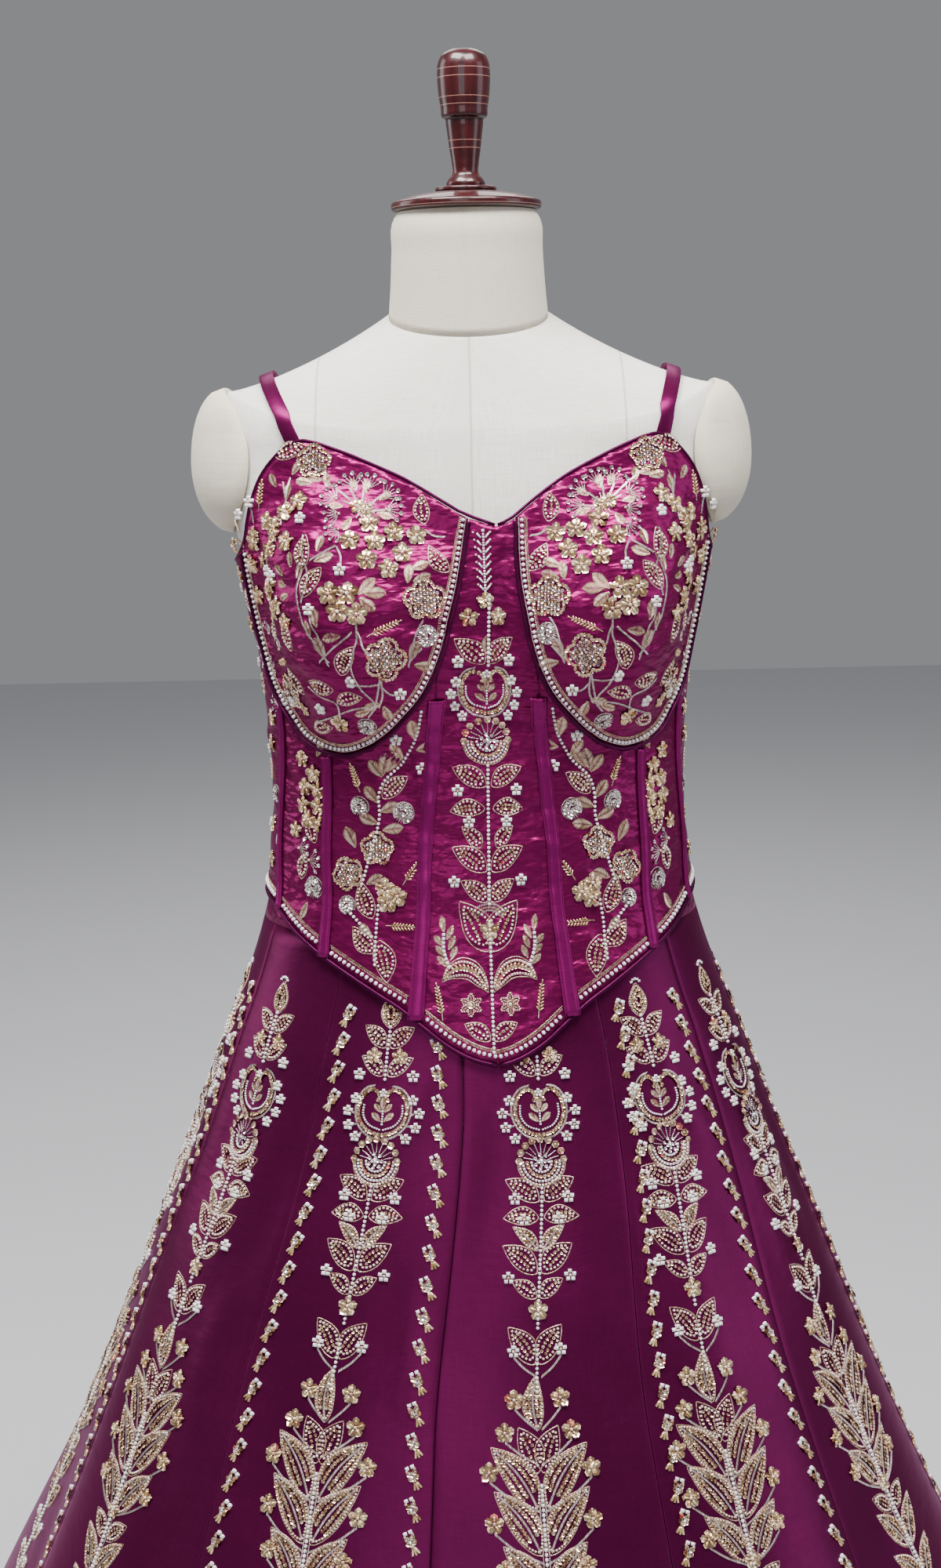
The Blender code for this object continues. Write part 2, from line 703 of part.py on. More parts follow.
def make_form():
    around = 32
    torso = lofted("form_torso", torso_rings(around), "canvas")
    angles = np.arange(around) * 360 / around
    rings = []
    for share, half, front, back in NECK_PROFILE:
        turn = np.radians(angles)
        ring = neck_edge(angles)
        ring[:, 0] = half * np.sin(turn)
        ring[:, 1] = -np.where(np.cos(turn) > 0, front, back) * np.cos(turn)
        ring[:, 2] = (ring[:, 2] + SEAM_GAP) * (1 - share) + NECK_TOP * share
        rings.append(ring)
    lofted("form_neck", rings, "canvas")
    for suffix, side in (("_left", -1), ("_right", 1)):
        make_shoulder_cap("shoulder_cap" + suffix, side)
    return torso


def make_shoulder_cap(name, side):
    """A stuffed cap sewn over the armhole plate: the torso's own points, moved out in a dome."""
    across = between(-1, 1, 8)[None]
    along = between(-1, 1, 8)[:, None]
    round_across = across * np.sqrt(1 - along**2 / 2)
    round_along = along * np.sqrt(1 - across**2 / 2)
    angles = side * 90 + CAP_SPREAD * round_across
    heights = CAP_CENTRE + CAP_HALF_HEIGHT * round_along
    dome = np.sqrt(np.clip(1 - round_across**2 - round_along**2, 0, 1))
    low = moved_out(torso_plate, angles, heights, CAP_LIFT)
    high = moved_out(torso_plate, angles, heights, CAP_LIFT + CAP_EDGE)
    high[..., 0] += side * CAP_DEPTH * dome
    return wall(name, high, low, "canvas")


def torso_plate(angle, height):
    return section(FORM_SECTIONS, angle, height)


def make_strap(name, side, torso):
    """A strap pulled tight from the cup, over the shoulder and down to the back edge.

    Its line is the outer hull of the form's section in the strap's own upright plane."""
    front = choli_form(side * STRAP_ANGLE, height_on(NECKLINE, STRAP_ANGLE) - STRAP_TUCK)
    back = choli_form(side * STRAP_BACK_ANGLE, height_on(NECKLINE, STRAP_BACK_ANGLE) - STRAP_TUCK)
    start = math.atan2(front[2] - STRAP_HUB, -front[1])
    end = math.pi - math.atan2(back[2] - STRAP_HUB, back[1])
    mesh = torso.data
    tree = BVHTree.FromPolygons([v.co for v in mesh.vertices], [p.vertices for p in mesh.polygons])
    line, facing = [], []
    for angle in between(start, end, 70):
        rise = (math.sin(angle) - math.sin(start)) / (1 - math.sin(start))
        fall = (math.sin(angle) - math.sin(end)) / (1 - math.sin(end))
        low, share = (front[0], rise) if angle < math.pi / 2 else (back[0], fall)
        x = low + (side * STRAP_TOP_X - low) * share
        way = Vector((0, -math.cos(angle), math.sin(angle)))
        hit, normal, _, _ = tree.ray_cast(Vector((x, 0, STRAP_HUB)), way)
        clear = STRAP_CLEAR + STRAP_SPRING * math.sin(math.pi * (angle - start) / (end - start))
        line.append(np.array(hit + normal * (STRAP_DEPTH / 2 + clear)))
        facing.append(np.array(normal))
    line, facing = taut(np.array(line), np.array(facing))
    along = np.gradient(line, axis=0)
    along /= np.linalg.norm(along, axis=1)[:, None]
    across = np.cross(along, facing)
    across /= np.linalg.norm(across, axis=1)[:, None]
    up = np.cross(across, along)
    sides = [line + across * STRAP_WIDTH / 2 * s for s in (-1, 1)]
    outer = np.stack([s + up * STRAP_DEPTH / 2 for s in sides], axis=1)
    inner = np.stack([s - up * STRAP_DEPTH / 2 for s in sides], axis=1)
    return wall(name, outer, inner, "satin")


def taut(line, facing):
    """The upper hull of a line seen from the side, resampled evenly and eased at its corners."""
    keep = []
    for k in range(len(line)):
        while len(keep) > 1:
            a, b = line[keep[-1]] - line[keep[-2]], line[k] - line[keep[-2]]
            if a[1] * b[2] - a[2] * b[1] < 0:
                break
            keep.pop()
        keep.append(k)
    line, facing = line[keep], facing[keep]
    length = np.concatenate([[0], np.cumsum(np.linalg.norm(np.diff(line, axis=0), axis=1))])
    at = between(0, length[-1], 36)
    return (
        np.stack([np.interp(at, length, line[:, k]) for k in range(3)], -1),
        np.stack([np.interp(at, length, facing[:, k]) for k in range(3)], -1),
    )


def make_stand():
    disc_height = DISC_PROFILE[-1][1]
    turned("neck_cap", DISC_PROFILE, NECK_TOP + SEAM_GAP, "mahogany")
    turned("finial", FINIAL_PROFILE, NECK_TOP + 2 * SEAM_GAP + disc_height, "mahogany", around=20)
    foot = (
        (BASE_RADIUS, 0.0),
        (BASE_RADIUS, BASE_HEIGHT * 0.45),
        (BASE_RADIUS * 0.96, BASE_HEIGHT * 0.75),
        (BASE_RADIUS * 0.80, BASE_HEIGHT * 0.92),
        (POLE_RADIUS * 2.2, BASE_HEIGHT),
    )
    turned("base", foot, 0.0, "mahogany", around=40)
    low, high = BASE_HEIGHT + SEAM_GAP, FORM_BOTTOM - SEAM_GAP
    turned("pole", ((POLE_RADIUS, 0), (POLE_RADIUS, high - low)), low, "pole_steel", around=20)


def main():
    for leftover in list(bpy.data.objects):
        bpy.data.objects.remove(leftover, do_unlink=True)
    torso = make_form()
    make_stand()
    make_front_panels()
    make_cup("cup_left", -1)
    make_cup("cup_right", 1)
    make_pipings()
    make_channels()
    make_strap("strap_left", -1, torso)
    make_strap("strap_right", 1, torso)
    make_waistband()
    make_skirt()


main()
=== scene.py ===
"""The looks of a lehenga choli on its dress form: satin, canvas and wood, with zari, sequin and bead work.

A Blender 4.5 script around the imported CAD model. Metres, +Z up, the front faces -Y, the wearer's left is +X.
A place on the cloth is an angle round the body in degrees, 0 at the centre front, and a height in metres.
A motif's own sizes are in millimetres, as an embroiderer would mark them, and its turns are in degrees.
"""

import math

import bpy
import numpy as np
from mathutils import Matrix, Vector


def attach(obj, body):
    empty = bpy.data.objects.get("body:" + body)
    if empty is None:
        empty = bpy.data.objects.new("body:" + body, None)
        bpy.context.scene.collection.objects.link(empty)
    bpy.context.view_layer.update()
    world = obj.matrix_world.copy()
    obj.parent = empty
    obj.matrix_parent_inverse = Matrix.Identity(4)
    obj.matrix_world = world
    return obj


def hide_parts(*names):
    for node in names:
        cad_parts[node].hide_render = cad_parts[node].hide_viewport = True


bl_info = {
    "name": "Lehenga choli",
    "version": (1, 0, 0),
    "blender": (4, 5, 0),
    "location": "View3D > Sidebar > Lehenga",
    "description": "Dresses the CAD model of a lehenga choli with its cloth, embroidery, form and stand",
    "category": "Object",
}

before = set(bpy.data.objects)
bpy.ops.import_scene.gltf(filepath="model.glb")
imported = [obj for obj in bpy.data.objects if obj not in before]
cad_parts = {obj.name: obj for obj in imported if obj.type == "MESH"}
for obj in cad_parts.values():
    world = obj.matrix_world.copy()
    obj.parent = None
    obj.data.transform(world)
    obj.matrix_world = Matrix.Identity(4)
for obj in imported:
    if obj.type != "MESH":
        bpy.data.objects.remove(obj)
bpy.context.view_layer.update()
BODY = "root"

# The camera of the photograph
CAMERA_PLACE = (-0.006, -1.80, 1.41)
CAMERA_PITCH = 10.2
CAMERA_ROLL = 1.2
LENS_MM, FILM_MM = 52.0, 36.0

# The cloth, as in the CAD model
CLOTH = 0.0018
SHELL = 0.0009
CHANNEL_SHELL = 0.0005
SEAM_SINK = 0.0005
WELD_DISTANCE = 0.00002
# Each sheet's flat size is figured a little larger than its shell measures, and not used further
FLAT_ALLOWANCE = 1.004
SEAM_GAP = 0.0003
LIFT = 0.0016
PIPING_RADIUS = 0.0013
HEM_PIPING_RADIUS = 0.0017
CHANNEL_WIDTH = 0.0098
CHANNEL_DEPTH = 0.0010
CHANNEL_OVER_HEM = 0.0015
CHOLI_TURN = 2.5
FIT_RADIUS = 0.150
SKIRT_TWIST = 4.0
TWIST_FROM, TWIST_TO = 0.64, 0.88
HEM_HEIGHT = 0.012
SKIRT_TOP = 0.985
WAISTBAND_TOP = 1.020
BACK_SEAM_ANGLE = 100.0
BUST_ANGLE = 31.0
BUST_HEIGHT = 1.216
BUST_DEPTH = 0.034
BUST_SPREAD = 33.0
BUST_RISE, BUST_FALL = 0.128, 0.090
BUST_FULLNESS = 1.4
BUST_TURNOUT = 0.45
FORM_BUST_SHARE = 0.55

STRAP_HUB = 1.240

# Dress form and stand
FORM_CENTRE_SEAM, FORM_PRINCESS_SEAM = 0.0, 0.117
GROOVE_HEIGHTS = (1.5386, 1.6409, 1.6347, 1.6200, 1.6143, 1.5881, 1.5824)
BASE_RADIUS, BASE_HEIGHT = 0.190, 0.022
POLE_RADIUS = 0.014
NECK_TOP = 1.5355
# Body sections, one row for each height
SECTION_COLUMNS = ("height", "half_width", "front", "back", "power")
CHOLI_SECTIONS = (
    (0.885, 0.215, 0.157, 0.166, 2.1), (0.9, 0.2095, 0.1525, 0.1615, 2.1),
    (0.94, 0.1935, 0.1405, 0.1475, 2.1), (0.983, 0.1795, 0.13, 0.135, 2.1),
    (1.01, 0.172, 0.1245, 0.127, 2.1), (1.05, 0.168, 0.1195, 0.118, 2.15), (1.1, 0.165, 0.116, 0.111, 2.2),
    (1.14, 0.1665, 0.1165, 0.11, 2.25), (1.18, 0.1705, 0.1175, 0.113, 2.3),
    (1.23, 0.179, 0.119, 0.119, 2.4), (1.275, 0.188, 0.118, 0.125, 2.5), (1.31, 0.196, 0.113, 0.127, 2.6),
    (1.37, 0.2, 0.098, 0.123, 2.6),
)
SKIRT_SECTIONS = (
    (0.012, 0.613, 0.603, 0.601, 2), (0.1, 0.568, 0.554, 0.553, 2), (0.2, 0.518, 0.499, 0.499, 2),
    (0.3, 0.467, 0.443, 0.444, 2), (0.4, 0.417, 0.388, 0.39, 2), (0.5, 0.368, 0.333, 0.338, 2),
    (0.615, 0.318, 0.275, 0.283, 2), (0.72, 0.276, 0.226, 0.236, 2), (0.822, 0.235, 0.179, 0.19, 2.05),
    (0.86, 0.221, 0.164, 0.174, 2.05), (0.9, 0.2055, 0.1485, 0.1575, 2.1),
    (0.94, 0.1895, 0.1365, 0.1435, 2.1), (0.983, 0.1755, 0.1255, 0.13, 2.1),
    (1.022, 0.1665, 0.1185, 0.1205, 2.1),
)
FORM_SECTIONS = (
    (0.79, 0.164, 0.122, 0.13, 2.1), (0.8, 0.184, 0.138, 0.147, 2.1), (0.84, 0.197, 0.148, 0.157, 2.1),
    (0.88, 0.198, 0.144, 0.153, 2.1), (0.92, 0.189, 0.135, 0.143, 2.1), (0.96, 0.1745, 0.124, 0.13, 2.1),
    (1, 0.1635, 0.116, 0.1195, 2.1), (1.05, 0.162, 0.1135, 0.112, 2.15), (1.1, 0.16, 0.1105, 0.1055, 2.2),
    (1.14, 0.1615, 0.111, 0.1045, 2.25), (1.18, 0.1655, 0.112, 0.1075, 2.3),
    (1.23, 0.1735, 0.1135, 0.1135, 2.4), (1.275, 0.182, 0.1125, 0.119, 2.5),
    (1.31, 0.188, 0.107, 0.1205, 2.6), (1.37, 0.189, 0.092, 0.115, 2.6),
)

# Seams of the choli on the +X side, mirrored for the other. Each row is one place on the cloth.
SEAM_COLUMNS = ("angle", "height")
CENTRE_SEAM = (
    (16.6, 0.931), (16.5, 0.97), (16.2, 1.01), (15.3, 1.055), (13.6, 1.1), (11.8, 1.14), (10.4, 1.17),
    (9.5, 1.196),
)
CUP_SEAM = (
    (2.75, 1.3065), (3.5, 1.278), (4.6, 1.253), (6.1, 1.2315), (7.6, 1.212), (9.5, 1.196), (14, 1.172),
    (17.5, 1.1605), (23.3, 1.145), (30, 1.134), (37.5, 1.128), (44.5, 1.1295), (54, 1.139), (59.5, 1.152),
    (66, 1.168), (69.3, 1.181), (71.5, 1.21), (72, 1.24), (71, 1.265), (69.5, 1.283),
)
MIDDLE_SEAM = (
    (43.4, 0.9725), (44.3, 0.992), (45.1, 1.015), (45.6, 1.04), (45.6, 1.065), (45.3, 1.09), (44.9, 1.11),
    (44.5, 1.1295),
)
SIDE_SEAM = (
    (68.2, 1.0005), (70, 1.022), (70.9, 1.045), (71, 1.07), (70, 1.095), (68, 1.12), (66.4, 1.145),
    (66, 1.168),
)
NECKLINE = (
    (0, 1.3005), (1.5, 1.303), (2.75, 1.3065), (5, 1.315), (8.5, 1.326), (12.5, 1.336), (17.5, 1.3445),
    (22.5, 1.352), (28, 1.3585), (33.5, 1.3635), (36.5, 1.3645), (39.5, 1.362), (46, 1.351), (51.5, 1.337),
    (56, 1.321), (60, 1.306), (63.5, 1.2945), (66.5, 1.2875), (69.5, 1.283), (77, 1.2755), (85, 1.2715),
    (92.5, 1.2695), (100, 1.2685), (180, 1.264),
)
HEM = (
    (0, 0.898), (4, 0.9025), (8.3, 0.9105), (14, 0.9245), (16.6, 0.931), (20, 0.9385), (26, 0.9485),
    (33, 0.959), (43.4, 0.9725), (54, 0.985), (68.2, 1.0005), (80, 1.0065), (90, 1.008), (100, 1.0075),
    (130, 1.002), (180, 0.995),
)
# Where the seams between the skirt's panels hang, from the one before the first panel
PANEL_SEAMS = (-8.0, 22.4, 49.6, 78.4, 108.2, 138.0, 167.8, 197.6, 227.4, 257.2, 287.2, 320.4, 352.0)
# Soft flutes of the flare. Columns: angle, half spread, depth at the hem, height where it starts
FLUTES = (
    (-8, 13, -0.013, 0.8), (8, 14, 0.011, 0.76), (24, 11, -0.015, 0.84), (40, 14, 0.014, 0.8),
    (55, 11, -0.012, 0.78), (72, 14, 0.016, 0.86), (91, 12, -0.014, 0.84), (110, 15, 0.015, 0.8),
    (128, 12, -0.015, 0.84), (147, 15, 0.014, 0.82), (166, 12, -0.013, 0.8), (186, 15, 0.017, 0.86),
    (205, 12, -0.015, 0.82), (223, 14, 0.013, 0.8), (241, 12, -0.016, 0.84), (260, 14, 0.015, 0.84),
    (279, 12, -0.013, 0.86), (296, 13, 0.012, 0.8), (313, 12, -0.015, 0.84), (333, 15, 0.013, 0.78),
)

# Turned wood. Columns: radius, height above the piece's underside
DISC_PROFILE = (
    (0.0545, 0), (0.0575, 0.0012), (0.0582, 0.0035), (0.0578, 0.0062), (0.054, 0.008), (0.044, 0.0112),
    (0.03, 0.0136),
)
FINIAL_PROFILE = (
    (0.0215, 0), (0.0236, 0.0012), (0.0236, 0.003), (0.0145, 0.0044), (0.015, 0.0062), (0.0136, 0.0094),
    (0.0102, 0.0138), (0.0105, 0.022), (0.012, 0.032), (0.013, 0.04), (0.0143, 0.05), (0.0152, 0.055),
    (0.0167, 0.0556), (0.0181, 0.063), (0.0193, 0.07), (0.0201, 0.079), (0.0204, 0.088), (0.0196, 0.096),
    (0.0166, 0.102), (0.011, 0.1055),
)
# Columns: share of the height, half width, front, back
NECK_PROFILE = (
    (0, 0.062, 0.06, 0.066), (0.3, 0.06, 0.058, 0.063), (0.65, 0.0585, 0.0565, 0.061),
    (0.9, 0.0575, 0.0555, 0.06), (1, 0.0535, 0.0515, 0.056),
)
NECK_SIDE, NECK_TILT = 1.4560, 0.28
CHEST_HEIGHT = 1.370
SHOULDER_LIFT = 0.032
CAP_CENTRE, CAP_HALF_HEIGHT, CAP_SPREAD = 1.349, 0.056, 31.0
CAP_DEPTH, CAP_EDGE, CAP_LIFT = 0.0270, 0.0012, 0.0022

def smooth(rows, at, column):
    """Reads one column of a table at the places given, on a smooth curve through its rows."""
    table = np.asarray(rows, float)
    x, y = table[:, 0], table[:, column]
    at = np.clip(np.asarray(at, float), x[0], x[-1])
    step = np.diff(x)
    slope = np.diff(y) / step
    tangent = np.concatenate([slope[:1], np.zeros(len(x) - 2), slope[-1:]])
    tangent[1:-1] = (slope[:-1] * step[1:] + slope[1:] * step[:-1]) / (step[1:] + step[:-1])
    i = np.clip(np.searchsorted(x, at, side="right") - 1, 0, len(x) - 2)
    s = (at - x[i]) / step[i]
    start = (2 * s**3 - 3 * s**2 + 1) * y[i] + (s**3 - 2 * s**2 + s) * step[i] * tangent[i]
    end = (3 * s**2 - 2 * s**3) * y[i + 1] + (s**3 - s**2) * step[i] * tangent[i + 1]
    return start + end


# Metres for each degree round the body, and for each metre up it
METRES = np.array([FIT_RADIUS * math.pi / 180, 1])


def run_along(points):
    """How far along a line each of its points lies."""
    return np.concatenate([[0], np.cumsum(np.linalg.norm(np.diff(points, axis=0), axis=1))])


def curve(points, steps=40, scale=1.0):
    """A smooth line through a few points, with even steps along it as it is scaled."""
    points = np.asarray(points, float)
    along = run_along(points * scale)
    table = np.column_stack([along, points])
    at = np.linspace(0, along[-1], steps)
    return np.stack([smooth(table, at, 1), smooth(table, at, 2)], -1)


def resampled(line, count):
    """A seam line on a smooth curve through its places, with an even number of steps along it."""
    return curve(line, count + 1, METRES)


def pushed(place, push):
    """Moves places level and straight out from the garment's axis."""
    flat = place[..., :2]
    place[..., :2] = flat * (1 + push / np.linalg.norm(flat, axis=-1))[..., None]
    return place


def section(rows, angle, height):
    """The plain body section: a rounded oval with its own depth in front and behind."""
    half, front, back, power = (smooth(rows, height, SECTION_COLUMNS.index(c)) for c in SECTION_COLUMNS[1:])
    turn = np.radians(angle)
    sine, cosine = np.sin(turn), np.cos(turn)
    depth = np.where(cosine > 0, front, back)
    x = half * np.sign(sine) * np.abs(sine) ** (2 / power)
    y = -depth * np.sign(cosine) * np.abs(cosine) ** (2 / power)
    return np.stack([x, y, np.broadcast_to(height, x.shape)], -1)


def bust(angle, height):
    """How far the bust stands forward of the plain section, as a vector."""
    across = (np.abs(angle) - BUST_ANGLE) / BUST_SPREAD
    rise = height - BUST_HEIGHT
    along = np.where(rise > 0, rise / BUST_RISE, rise / BUST_FALL)
    share = np.clip(1 - across**2 - along**2, 0, 1) ** BUST_FULLNESS
    out = np.radians(BUST_TURNOUT * angle)
    return (BUST_DEPTH * share)[..., None] * np.stack([np.sin(out), -np.cos(out), 0 * out], -1)


def choli_form(angle, height):
    place = section(CHOLI_SECTIONS, angle + CHOLI_TURN, height)
    return place + bust(angle, height)


def torso_form(angle, height):
    place = section(FORM_SECTIONS, angle, height)
    return place + FORM_BUST_SHARE * bust(wrap(angle - CHOLI_TURN), height)


def skirt_form(angle, height):
    """The flared skirt: the plain section turned a little towards the waist, with its flutes."""
    up = np.clip((height - TWIST_FROM) / (TWIST_TO - TWIST_FROM), 0, 1)
    turned = angle + SKIRT_TWIST * up * up * (3 - 2 * up)
    place = section(SKIRT_SECTIONS, turned, height)
    push = np.zeros(np.broadcast(angle, height).shape)
    for middle, spread, depth, start in FLUTES:
        near = np.clip(1 - (wrap(angle - middle) / spread) ** 2, 0, 1) ** 2
        fall = np.clip((start - height) / (start - HEM_HEIGHT), 0, 1)
        push = push + depth * near * fall**1.3
    return pushed(place, push)


def wrap(angle):
    return (np.asarray(angle, float) + 180) % 360 - 180


def moved_out(form, angle, height, out):
    """The point of a form at this angle and height, moved out along the surface's own normal."""
    angle, height = np.broadcast_arrays(np.asarray(angle, float), np.asarray(height, float))
    turn, rise = 0.25, 0.0015
    across = form(angle + turn, height) - form(angle - turn, height)
    along = form(angle, height + rise) - form(angle, height - rise)
    normal = np.cross(across, along)
    normal /= np.linalg.norm(normal, axis=-1)[..., None]
    return form(angle, height) + normal * np.asarray(out)[..., None]


def mirrored(seam):
    return np.asarray(seam, float) * (-1, 1)


def between(start, end, steps):
    return np.linspace(start, end, steps + 1)


def height_on(line, angle):
    """The height of an edge, such as the hem, at these angles on either side."""
    return smooth(line, np.abs(wrap(angle)), SEAM_COLUMNS.index("height"))


def edge_points(line, angles):
    angles = np.asarray(angles, float)
    return np.stack([angles, height_on(line, angles)], -1)


def patch(bottom, top, left, right):
    """A grid of places that meets four seams, blended between them."""
    bottom, top, left, right = (np.asarray(seam, float) for seam in (bottom, top, left, right))
    u = np.linspace(0, 1, len(bottom))[None, :, None]
    v = np.linspace(0, 1, len(left))[:, None, None]
    across = (1 - u) * left[:, None] + u * right[:, None]
    along = (1 - v) * bottom[None] + v * top[None]
    corners = (1 - u) * (1 - v) * bottom[0] + u * (1 - v) * bottom[-1]
    corners = corners + (1 - u) * v * top[0] + u * v * top[-1]
    return across + along - corners


def beside(line, distance, closed=False):
    """A line of places moved square to itself over the cloth, upwards where its angle grows."""
    flat = line * METRES
    if closed:
        along = np.roll(flat, -1, axis=0) - np.roll(flat, 1, axis=0)
    else:
        along = np.gradient(flat, axis=0)
    across = np.stack([-along[:, 1], along[:, 0]], -1)
    across /= np.linalg.norm(across, axis=1)[:, None]
    return (flat + across * np.asarray(distance)[..., None]) / METRES


def drawn_in(line, inside, closed=False):
    """A seam line moved in by half a seam gap, towards a line of places inside the piece."""
    across = (beside(line, 1.0, closed) - line) * METRES
    inward = np.sign(np.sum(across * (inside - line) * METRES, axis=1))
    return beside(line, inward * SEAM_GAP / 2, closed)


def inset(grid):
    """Draws a grid of places in from all four of its seams."""
    grid = grid.copy()
    moved = np.zeros_like(grid)
    moved[0] += drawn_in(grid[0], grid[1]) - grid[0]
    moved[-1] += drawn_in(grid[-1], grid[-2]) - grid[-1]
    moved[:, 0] += drawn_in(grid[:, 0], grid[:, 1]) - grid[:, 0]
    moved[:, -1] += drawn_in(grid[:, -1], grid[:, -2]) - grid[:, -1]
    return grid + moved


def back_seam(count):
    low, high = height_on(HEM, BACK_SEAM_ANGLE), height_on(NECKLINE, BACK_SEAM_ANGLE)
    return np.stack([np.full(count, BACK_SEAM_ANGLE), between(low, high, count - 1)], -1)


# Creases of the cloth. Columns: angle, height, length, direction in degrees from level, width, depth.
# Lengths, widths and depths are in millimetres. A negative depth is a trough.
CUP_CREASES = (
    (30, 1.222, 46, 8, 4.5, -1.9), (33, 1.231, 50, 6, 5.5, 1.3), (20, 1.231, 40, -22, 4.5, -1.4),
    (16, 1.243, 34, -30, 5, 1), (44, 1.229, 36, 24, 4.5, -1.4), (31, 1.196, 60, 88, 4, -1.5),
    (27.5, 1.19, 40, 84, 5, 0.8), (36, 1.2, 40, 97, 5, 0.7), (24, 1.262, 48, -12, 6, -1.1),
    (36, 1.268, 44, 14, 6.5, -1), (12, 1.29, 40, -34, 6, -1.2), (10, 1.272, 36, -40, 5, 0.9),
    (48, 1.262, 40, 38, 5, -1.2), (52, 1.288, 46, 52, 5, 0.9), (30, 1.318, 50, -8, 8, 0.9),
    (22, 1.334, 44, -26, 6, -0.9), (42, 1.318, 38, 48, 6, -1), (18, 1.206, 34, -42, 5, -1),
    (46, 1.19, 38, 44, 5, -1), (58, 1.232, 50, 76, 5, -1.1),
)
CORSET_CREASES = (
    (-7.5, 1.224, 34, -16, 3.4, -1), (4, 1.216, 30, 12, 3.4, -0.9), (-2, 1.205, 34, 4, 3.4, 0.9),
    (6.5, 1.188, 30, 18, 3.4, -1), (-6, 1.166, 44, -10, 4, -1.2), (-9, 1.146, 40, 5, 4.2, 1.1),
    (8, 1.152, 40, 9, 4, -1.1), (-8, 1.122, 46, -6, 4.4, -1.3), (9, 1.118, 44, 10, 4.2, 1.1),
    (-9.5, 1.094, 50, 4, 4.6, 1.2), (8.5, 1.086, 46, -5, 4.2, -1.2), (-8, 1.066, 48, -9, 4.2, -1.2),
    (10, 1.058, 44, 8, 4.2, 1), (-10, 1.036, 50, 6, 4.8, 1.2), (9, 1.026, 44, -8, 4.4, -1.1),
    (-9, 1.004, 46, -10, 4.4, -1), (9.5, 0.99, 48, 12, 5, 1.1), (-8.5, 0.968, 44, 12, 4.8, 1),
    (8, 0.95, 40, 24, 4.6, -0.9), (-24, 1.128, 50, -34, 5, -1.2), (-30, 1.1, 60, -20, 6, 1.1),
    (-22, 1.05, 56, 70, 6, 1.2), (-36, 1.06, 50, 74, 5, -0.9), (-26, 1, 56, 66, 6, -1.1),
    (26, 1.13, 52, 30, 5, -1.2), (33, 1.098, 56, 18, 6, 1), (23, 1.052, 58, -72, 6, 1.2),
    (37, 1.046, 50, -76, 5, -1), (27, 0.99, 56, -64, 6, -1.1), (84, 1.06, 70, 10, 8, -1.3),
    (92, 1.12, 60, -12, 8, 1.2), (-85, 1.07, 70, -8, 8, -1.3), (-92, 1.13, 60, 14, 8, 1.2),
    (84, 1.19, 70, 24, 9, -1.3), (-84, 1.2, 66, -20, 9, -1.3), (124, 1.06, 90, 8, 9, -1.3),
    (150, 1.11, 100, -10, 10, 1.3), (136, 1.17, 80, 16, 9, -1.2), (166, 1.05, 70, 12, 9, -1.2),
    (-122, 1.08, 90, -12, 9, -1.3), (-148, 1.12, 100, 8, 10, 1.3), (-134, 1.19, 80, -14, 9, -1.2),
    (-168, 1.07, 70, -8, 9, -1.2),
)
SKIRT_CREASES = (
    (-2, 0.8, 180, 84, 13, -2.2), (14, 0.76, 200, 96, 15, 2.6), (17, 0.69, 120, 116, 11, -2),
    (16, 0.86, 90, 70, 9, 1.8), (-12, 0.7, 160, 100, 14, 2.4), (-16, 0.88, 80, 62, 9, -1.6),
    (-31, 0.85, 110, 58, 11, 2.4), (-33, 0.82, 100, 64, 9, -2.2), (-36, 0.9, 70, 40, 8, 1.8),
    (-44, 0.78, 170, 78, 15, -2.8), (-48, 0.66, 200, 94, 16, 3), (-64, 0.8, 200, 80, 15, -3),
    (27, 0.78, 170, 98, 13, -2.2), (40, 0.85, 120, 118, 11, 2.6), (42, 0.72, 180, 96, 15, -2.6),
    (46, 0.9, 70, 132, 8, -1.8), (57, 0.76, 200, 102, 15, 3), (72, 0.8, 200, 94, 16, -3),
    (84, 0.7, 240, 96, 17, 3), (100, 0.82, 180, 84, 15, -2.8), (116, 0.72, 220, 92, 17, 3),
    (134, 0.84, 160, 100, 14, -2.8), (151, 0.7, 240, 88, 17, 3.2), (170, 0.82, 180, 84, 15, -2.8),
    (-176, 0.7, 220, 92, 16, 3), (-158, 0.82, 180, 96, 15, -3), (-140, 0.72, 220, 86, 17, 3),
    (-122, 0.84, 170, 92, 14, -2.8), (-104, 0.72, 240, 84, 17, 3.2), (-86, 0.8, 200, 92, 15, -2.8),
    (4, 0.42, 300, 88, 22, 4), (-20, 0.4, 320, 92, 24, -4.2), (30, 0.44, 280, 95, 20, -3.8),
    (62, 0.4, 320, 94, 24, 4.4), (-56, 0.42, 300, 86, 22, 4.2), (-78, 0.38, 320, 88, 24, -4.4),
    (92, 0.42, 320, 92, 24, -4.4), (124, 0.4, 320, 88, 24, 4.4), (158, 0.42, 300, 92, 22, -4.2),
    (-164, 0.4, 320, 90, 24, 4.4), (-130, 0.42, 300, 86, 22, -4.2), (-98, 0.4, 300, 92, 24, 4.2),
)


